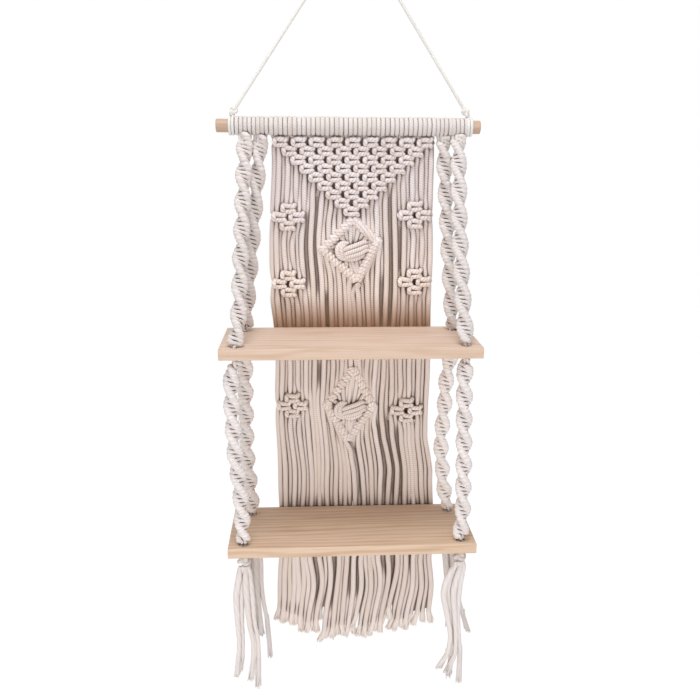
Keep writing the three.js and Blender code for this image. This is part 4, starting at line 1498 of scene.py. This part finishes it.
def brush(above, tip, fall, seed, yarns, spread):
    """Loose yarns that spread from the end of a cord, fall being their way down from the tip."""
    draw = random.Random(seed)
    cords = []
    for number in range(yarns):
        angle = YARN_TURN * number
        reach = math.sqrt((number + 0.5) / yarns)
        start = Vector((math.cos(angle), math.sin(angle), 0.0)) * (reach * spread)
        open_out = draw.uniform(1.2, 1.9)
        swing = Vector((draw.uniform(-1.2, 1.2), draw.uniform(-0.8, 0.8), 0.0))
        share = draw.uniform(0.88, 1.03)
        half = fall * (share * 0.5)
        cord = Cord(f"{seed}{number}")
        cord.through(above + start * 0.8, 0.9)
        cord.through(tip + start)
        cord.through(tip + half + start * mix(1.0, open_out, 0.35) + swing * 0.3)
        cord.through(tip + fall * share + start * open_out + swing, 0.6)
        cords.append(cord)
    return cords


def lay_yarns(name, yarns, finish):
    return lay_cords(name, yarns, YARN_RADIUS, FINISHES[finish], sides=5, spacing=YARN_RINGS)


# Stoppers and tassels

STOPPER_CORD = 2.9
TASSEL_CORD = 3.4
TASSEL_YARNS = 26
TASSEL_SPREAD = 2.8
# How far below its pivot each tassel's cords are placed
TASSEL_DROPS = (14.0, 45.0, 86.0, 119.0, 148.0)
# Each cord's place aside at those drops, then its end: aside and down
TASSELS = {
    "front_left": (
        (-4.4, -9.0, -8.2, -7.0, -9.0, -12.5, 176.0),
        (-0.6, -2.2, -3.5, -2.6, -4.0, -9.0, 172.0),
        (5.0, 5.6, 8.4, 12.8, 12.6, 9.0, 183.0),
        (10.0, 12.6, 14.6, 19.4, 20.0, 17.4, 200.0),
    ),
    "front_right": (
        (-9.5, -18.0, -11.0, -5.6, -9.0, -21.0, 172.0),
        (-4.0, -10.8, -5.6, -2.0, -1.5, -5.0, 192.0),
        (2.4, -3.4, 0.0, 2.6, 2.8, -9.0, 180.0),
        (9.0, 5.4, 4.8, 7.8, 11.0, 12.0, 201.0),
    ),
    "rear_left": (
        (-3.0, -6.0, -5.0, -1.5, 1.0, 2.0, 168.0),
        (1.0, 1.0, 1.5, 4.5, 6.5, 7.5, 176.0),
        (5.0, 6.5, 7.0, 9.5, 11.0, 12.0, 172.0),
        (9.0, 12.5, 13.0, 16.5, 21.0, 25.5, 216.0),
    ),
    "rear_right": (
        (-1.0, 3.0, 7.0, 10.0, 11.0, 12.0, 166.0),
        (4.0, 8.0, 12.0, 14.0, 15.0, 16.0, 172.0),
        (9.0, 14.0, 16.0, 18.0, 19.0, 20.0, 170.0),
        (14.0, 20.0, 23.0, 28.0, 36.0, 46.0, 180.0),
    ),
}


class MakeTassels(bpy.types.Operator):
    """Tie the stopper knots under the lower board and hang the tassels from them"""

    bl_idname = "rope_shelf.tassels"
    bl_label = "Stopper knots and tassels"

    def execute(self, context):
        for corner, (x, y) in HOLES.items():
            self.stopper(corner, x + LOWER_ASIDE, y)
            self.tassel(corner, Vector((x, y, TASSEL_PIVOT)))
        return {"FINISHED"}

    def stopper(self, corner, x, y):
        """A knot under the board and the four cords that come down to it through the hole."""
        under = LOWER_TOP - BOARD_THICK
        centre = Vector((x, y, under - 9.6))
        down = Vector((0.0, 0.0, -1.0))
        cords = [
            trefoil(centre, down, 7.4, 5.4, corner + "a", 0.0, 1.12),
            trefoil(centre + down * 0.4, down, 6.2, 4.0, corner + "b", 1.1, 1.12),
        ]
        heights = (LOWER_TOP - 0.2, LOWER_TOP - BOARD_THICK / 2, under - 4.0)
        for number in range(ROPE_CORDS):
            aside, back = bundle(number, 1.0)
            places = [((x + aside, y + back, z), 0.8) for z in heights]
            cords.append(Cord(f"{corner}hole{number}", places))
        name = f"stopper_knot_cords_{corner}"
        piece = lay_cords(name, cords, STOPPER_CORD, FINISHES["rope"], spacing=ROPE_RINGS)
        seat(piece, "lower_board", "cotton_rope", f"stopper_knot_{corner}")

    def tassel(self, corner, centre):
        """Four cords that hang from the stopper knot and fray at their ends."""
        cords = []
        brushes = []
        leans = side_by_side(0.0, ROPE_CORDS, TASSEL_CORD)
        for number, (*asides, end_aside, end_down) in enumerate(TASSELS[corner]):
            seed = f"{corner}{number}"
            deep = 2.7 if number % 2 else -2.7
            lean = leans[number]
            cord = Cord(seed)
            cord.through(centre + Vector((LOWER_ASIDE + lean, deep / 3, 2.6)), 0.8)
            cord.through(centre + Vector((LOWER_ASIDE + lean * 1.3, deep / 2, -5.0)), 1.1)
            for drop, aside in zip(TASSEL_DROPS, asides):
                thick = mix(1.35, 1.0, smooth((drop - 60.0) / 60.0))
                cord.through(centre + Vector((aside, deep, -drop)), thick)
            cords.append(cord)
            tip = centre + Vector((asides[-1], deep, -TASSEL_DROPS[-1]))
            above = centre + Vector((asides[-1], deep, -TASSEL_DROPS[-1] + 8.0))
            fall = centre + Vector((end_aside, deep, -end_down)) - tip
            brushes += brush(above, tip, fall, seed, TASSEL_YARNS, TASSEL_SPREAD)
        name = f"tassel_cords_{corner}"
        piece = lay_cords(name, cords, TASSEL_CORD, FINISHES["soft"], spacing=TASSEL_RINGS)
        seat(piece, f"{corner}_tassel", "cotton_rope", f"tassel_{corner}")
        ends = lay_yarns(f"tassel_ends_{corner}", brushes, "rope_brush")
        seat(ends, f"{corner}_tassel", "cotton_rope")


# Stage

FLOOR_DROP = 0.25
FLOOR_SIDE = 6.0
WHITE = (1.0, 1.0, 1.0)
# Each lamp's place, what it points at, its side and its power
LAMPS = {
    "top_lamp": ((-0.1, -0.45, 1.1), (0.0, -0.06, -0.5), 0.6, 13.4),
    "low_lamp": ((-0.3, -2.2, -0.9), (0.0, 0.0, -0.6), 0.8, 14.8),
}


class MakeStage(bpy.types.Operator):
    """Set up the pale floor, the white surroundings and the soft light"""

    bl_idname = "rope_shelf.stage"
    bl_label = "Stage and light"

    def execute(self, context):
        made = bmesh.new()
        z = CAD_BOX[0][2] - FLOOR_DROP
        half = FLOOR_SIDE / 2
        places = ((-half, -half), (half, -half), (half, half), (-half, half))
        made.faces.new([made.verts.new((x, y, z)) for x, y in places])
        mesh_piece("floor", made, self.floor_finish())
        self.surround(context)
        for name, (at, towards, size, power) in LAMPS.items():
            data = bpy.data.lights.new(name, "AREA")
            data.size = size
            data.energy = power
            aim = (Vector(towards) - Vector(at)).to_track_quat("-Z", "Y")
            turn = aim.to_matrix().to_4x4()
            new_object(name, data).matrix_world = Matrix.Translation(at) @ turn
        context.scene.view_settings.view_transform = "Standard"
        return {"FINISHED"}

    def floor_finish(self):
        """A pale floor that the camera sees almost as white, with the shelf's soft shadow."""
        made, graph = material("pale_floor")
        grain = graph.noise(graph.add("ShaderNodeTexCoord", {}, {}, 3), 30.0)
        tone = graph.blend(grain * 0.3, (0.92, 0.92, 0.92), (0.88, 0.88, 0.88))
        plain = graph.add("ShaderNodeBsdfDiffuse", {}, {"Color": tone})
        glow = graph.add("ShaderNodeEmission", {}, {"Color": WHITE, "Strength": 1.12})
        seen = graph.add("ShaderNodeLightPath")
        both = graph.add("ShaderNodeMixShader", {}, {0: seen * 0.8, 1: plain, 2: glow})
        graph.add("ShaderNodeOutputMaterial", {}, {"Surface": both})
        return made

    def surround(self, context):
        """Soft light from all round, and plain white where the camera looks past the shelf."""
        world = bpy.data.worlds.new("surroundings")
        world.use_nodes = True
        graph = Graph(world.node_tree)
        soft, white = (
            graph.add("ShaderNodeBackground", {}, {"Color": WHITE, "Strength": strength})
            for strength in (0.6, 1.0)
        )
        seen = graph.add("ShaderNodeLightPath")
        both = graph.add("ShaderNodeMixShader", {}, {0: seen, 1: soft, 2: white})
        graph.add("ShaderNodeOutputWorld", {}, {"Surface": both})
        context.scene.world = world


# Panel in the sidebar and registration

STEPS = (
    MakeCamera,
    MakeHanger,
    MakeDowel,
    MakeCarryingRopes,
    MakePanel,
    MakeBoards,
    MakeTassels,
    MakeStage,
)


class ShelfPanel(bpy.types.Panel):
    """Lists the shelf's pieces and the sizes and colours that they are made with."""

    bl_idname = "VIEW3D_PT_rope_shelf"
    bl_label = "Rope Shelf"
    bl_space_type = "VIEW_3D"
    bl_region_type = "UI"
    bl_category = "Rope Shelf"

    def draw(self, context):
        for settings in (context.scene.rope_sizes, context.scene.shelf_colours):
            for name in settings.__annotations__:
                self.layout.prop(settings, name)
        for step in STEPS:
            self.layout.operator(step.bl_idname)


CLASSES = (RopeSizes, ShelfColours, *STEPS, ShelfPanel)


def register():
    for made in CLASSES:
        bpy.utils.register_class(made)
    bpy.types.Scene.rope_sizes = PointerProperty(type=RopeSizes)
    bpy.types.Scene.shelf_colours = PointerProperty(type=ShelfColours)


def unregister():
    del bpy.types.Scene.shelf_colours
    del bpy.types.Scene.rope_sizes
    for made in reversed(CLASSES):
        bpy.utils.unregister_class(made)


FINISHES = {}
CORD_TREE = []

def make_finishes():
    """The materials of all pieces, from the colours that a user may change."""
    colours = bpy.context.scene.shelf_colours
    rope, panel, pine, grain, dowel, hanger = (
        tuple(getattr(colours, field))
        for field in ("rope", "panel", "pine", "pine_grain", "dowel", "hanger")
    )
    lay = bpy.context.scene.rope_sizes.lay * 1000.0
    # lit and bright are the rope's colour made lighter, as painted light: lit for the lower front
    # ropes, the tassels, their ends and the panel's loops, bright for the lower rear ropes. The
    # upper ropes take the rope's colour a little darker.
    lit, bright, frayed = toned(rope, 1.08), toned(rope, 1.22), toned(panel, 1.05)
    FINISHES.update(
        rope=cotton("cotton_rope", toned(rope, 0.96), 14.0, 0.006, 0.25, groove_shade=0.25),
        rope_low=cotton("cotton_rope_low", lit, 14.0, 0.005, 0.1, groove_shade=0.2, pits=0.34),
        rope_rear=cotton("cotton_rope_rear", bright, 14.0, 0.005, 0.1, groove_shade=0.2, pits=0.3),
        hanger=cotton("cotton_hanger", hanger, 7.0, 0.004, 0.1, 0.0002, 0.2, 0.25),
        soft=cotton("cotton_tassel", lit, 60.0, 0.006, 0.0, groove_shade=0.15, pits=0.25),
        rope_brush=cotton("cotton_rope_ends", lit, 0.0, 0.004, 0.05, pits=0.2),
        panel=cotton("panel_cotton", panel, lay, 0.025, 0.8, 0.0008, 0.9, 0.64, 1.0),
        panel_top=cotton("panel_loop_cotton", lit, 11.0, 0.006, 0.15, 0.0008, 0.9),
        panel_brush=cotton("panel_cotton_ends", frayed, 0.0, 0.004, 0.0, pits=0.2),
        pine=wood("pine", pine, grain, 640.0, 0.45, 0.25),
        # A darker, browner copy of the pine: painted shade and brown bounce light under the upper
        # board.
        pine_low=wood(
            "pine_lower_board",
            toned(pine, 0.96, 0.92, 0.83),
            toned(grain, 0.9, 0.85, 0.76),
            640.0,
            0.5,
        ),
        dowel=wood("dowel_wood", dowel, toned(dowel, 0.7), 700.0, 0.4),
    )


def main():
    register()
    CORD_TREE.extend(cord_tree())
    make_finishes()
    for step in STEPS:
        family, name = step.bl_idname.split(".")
        getattr(getattr(bpy.ops, family), name)()


if __name__ == "__main__":
    main()
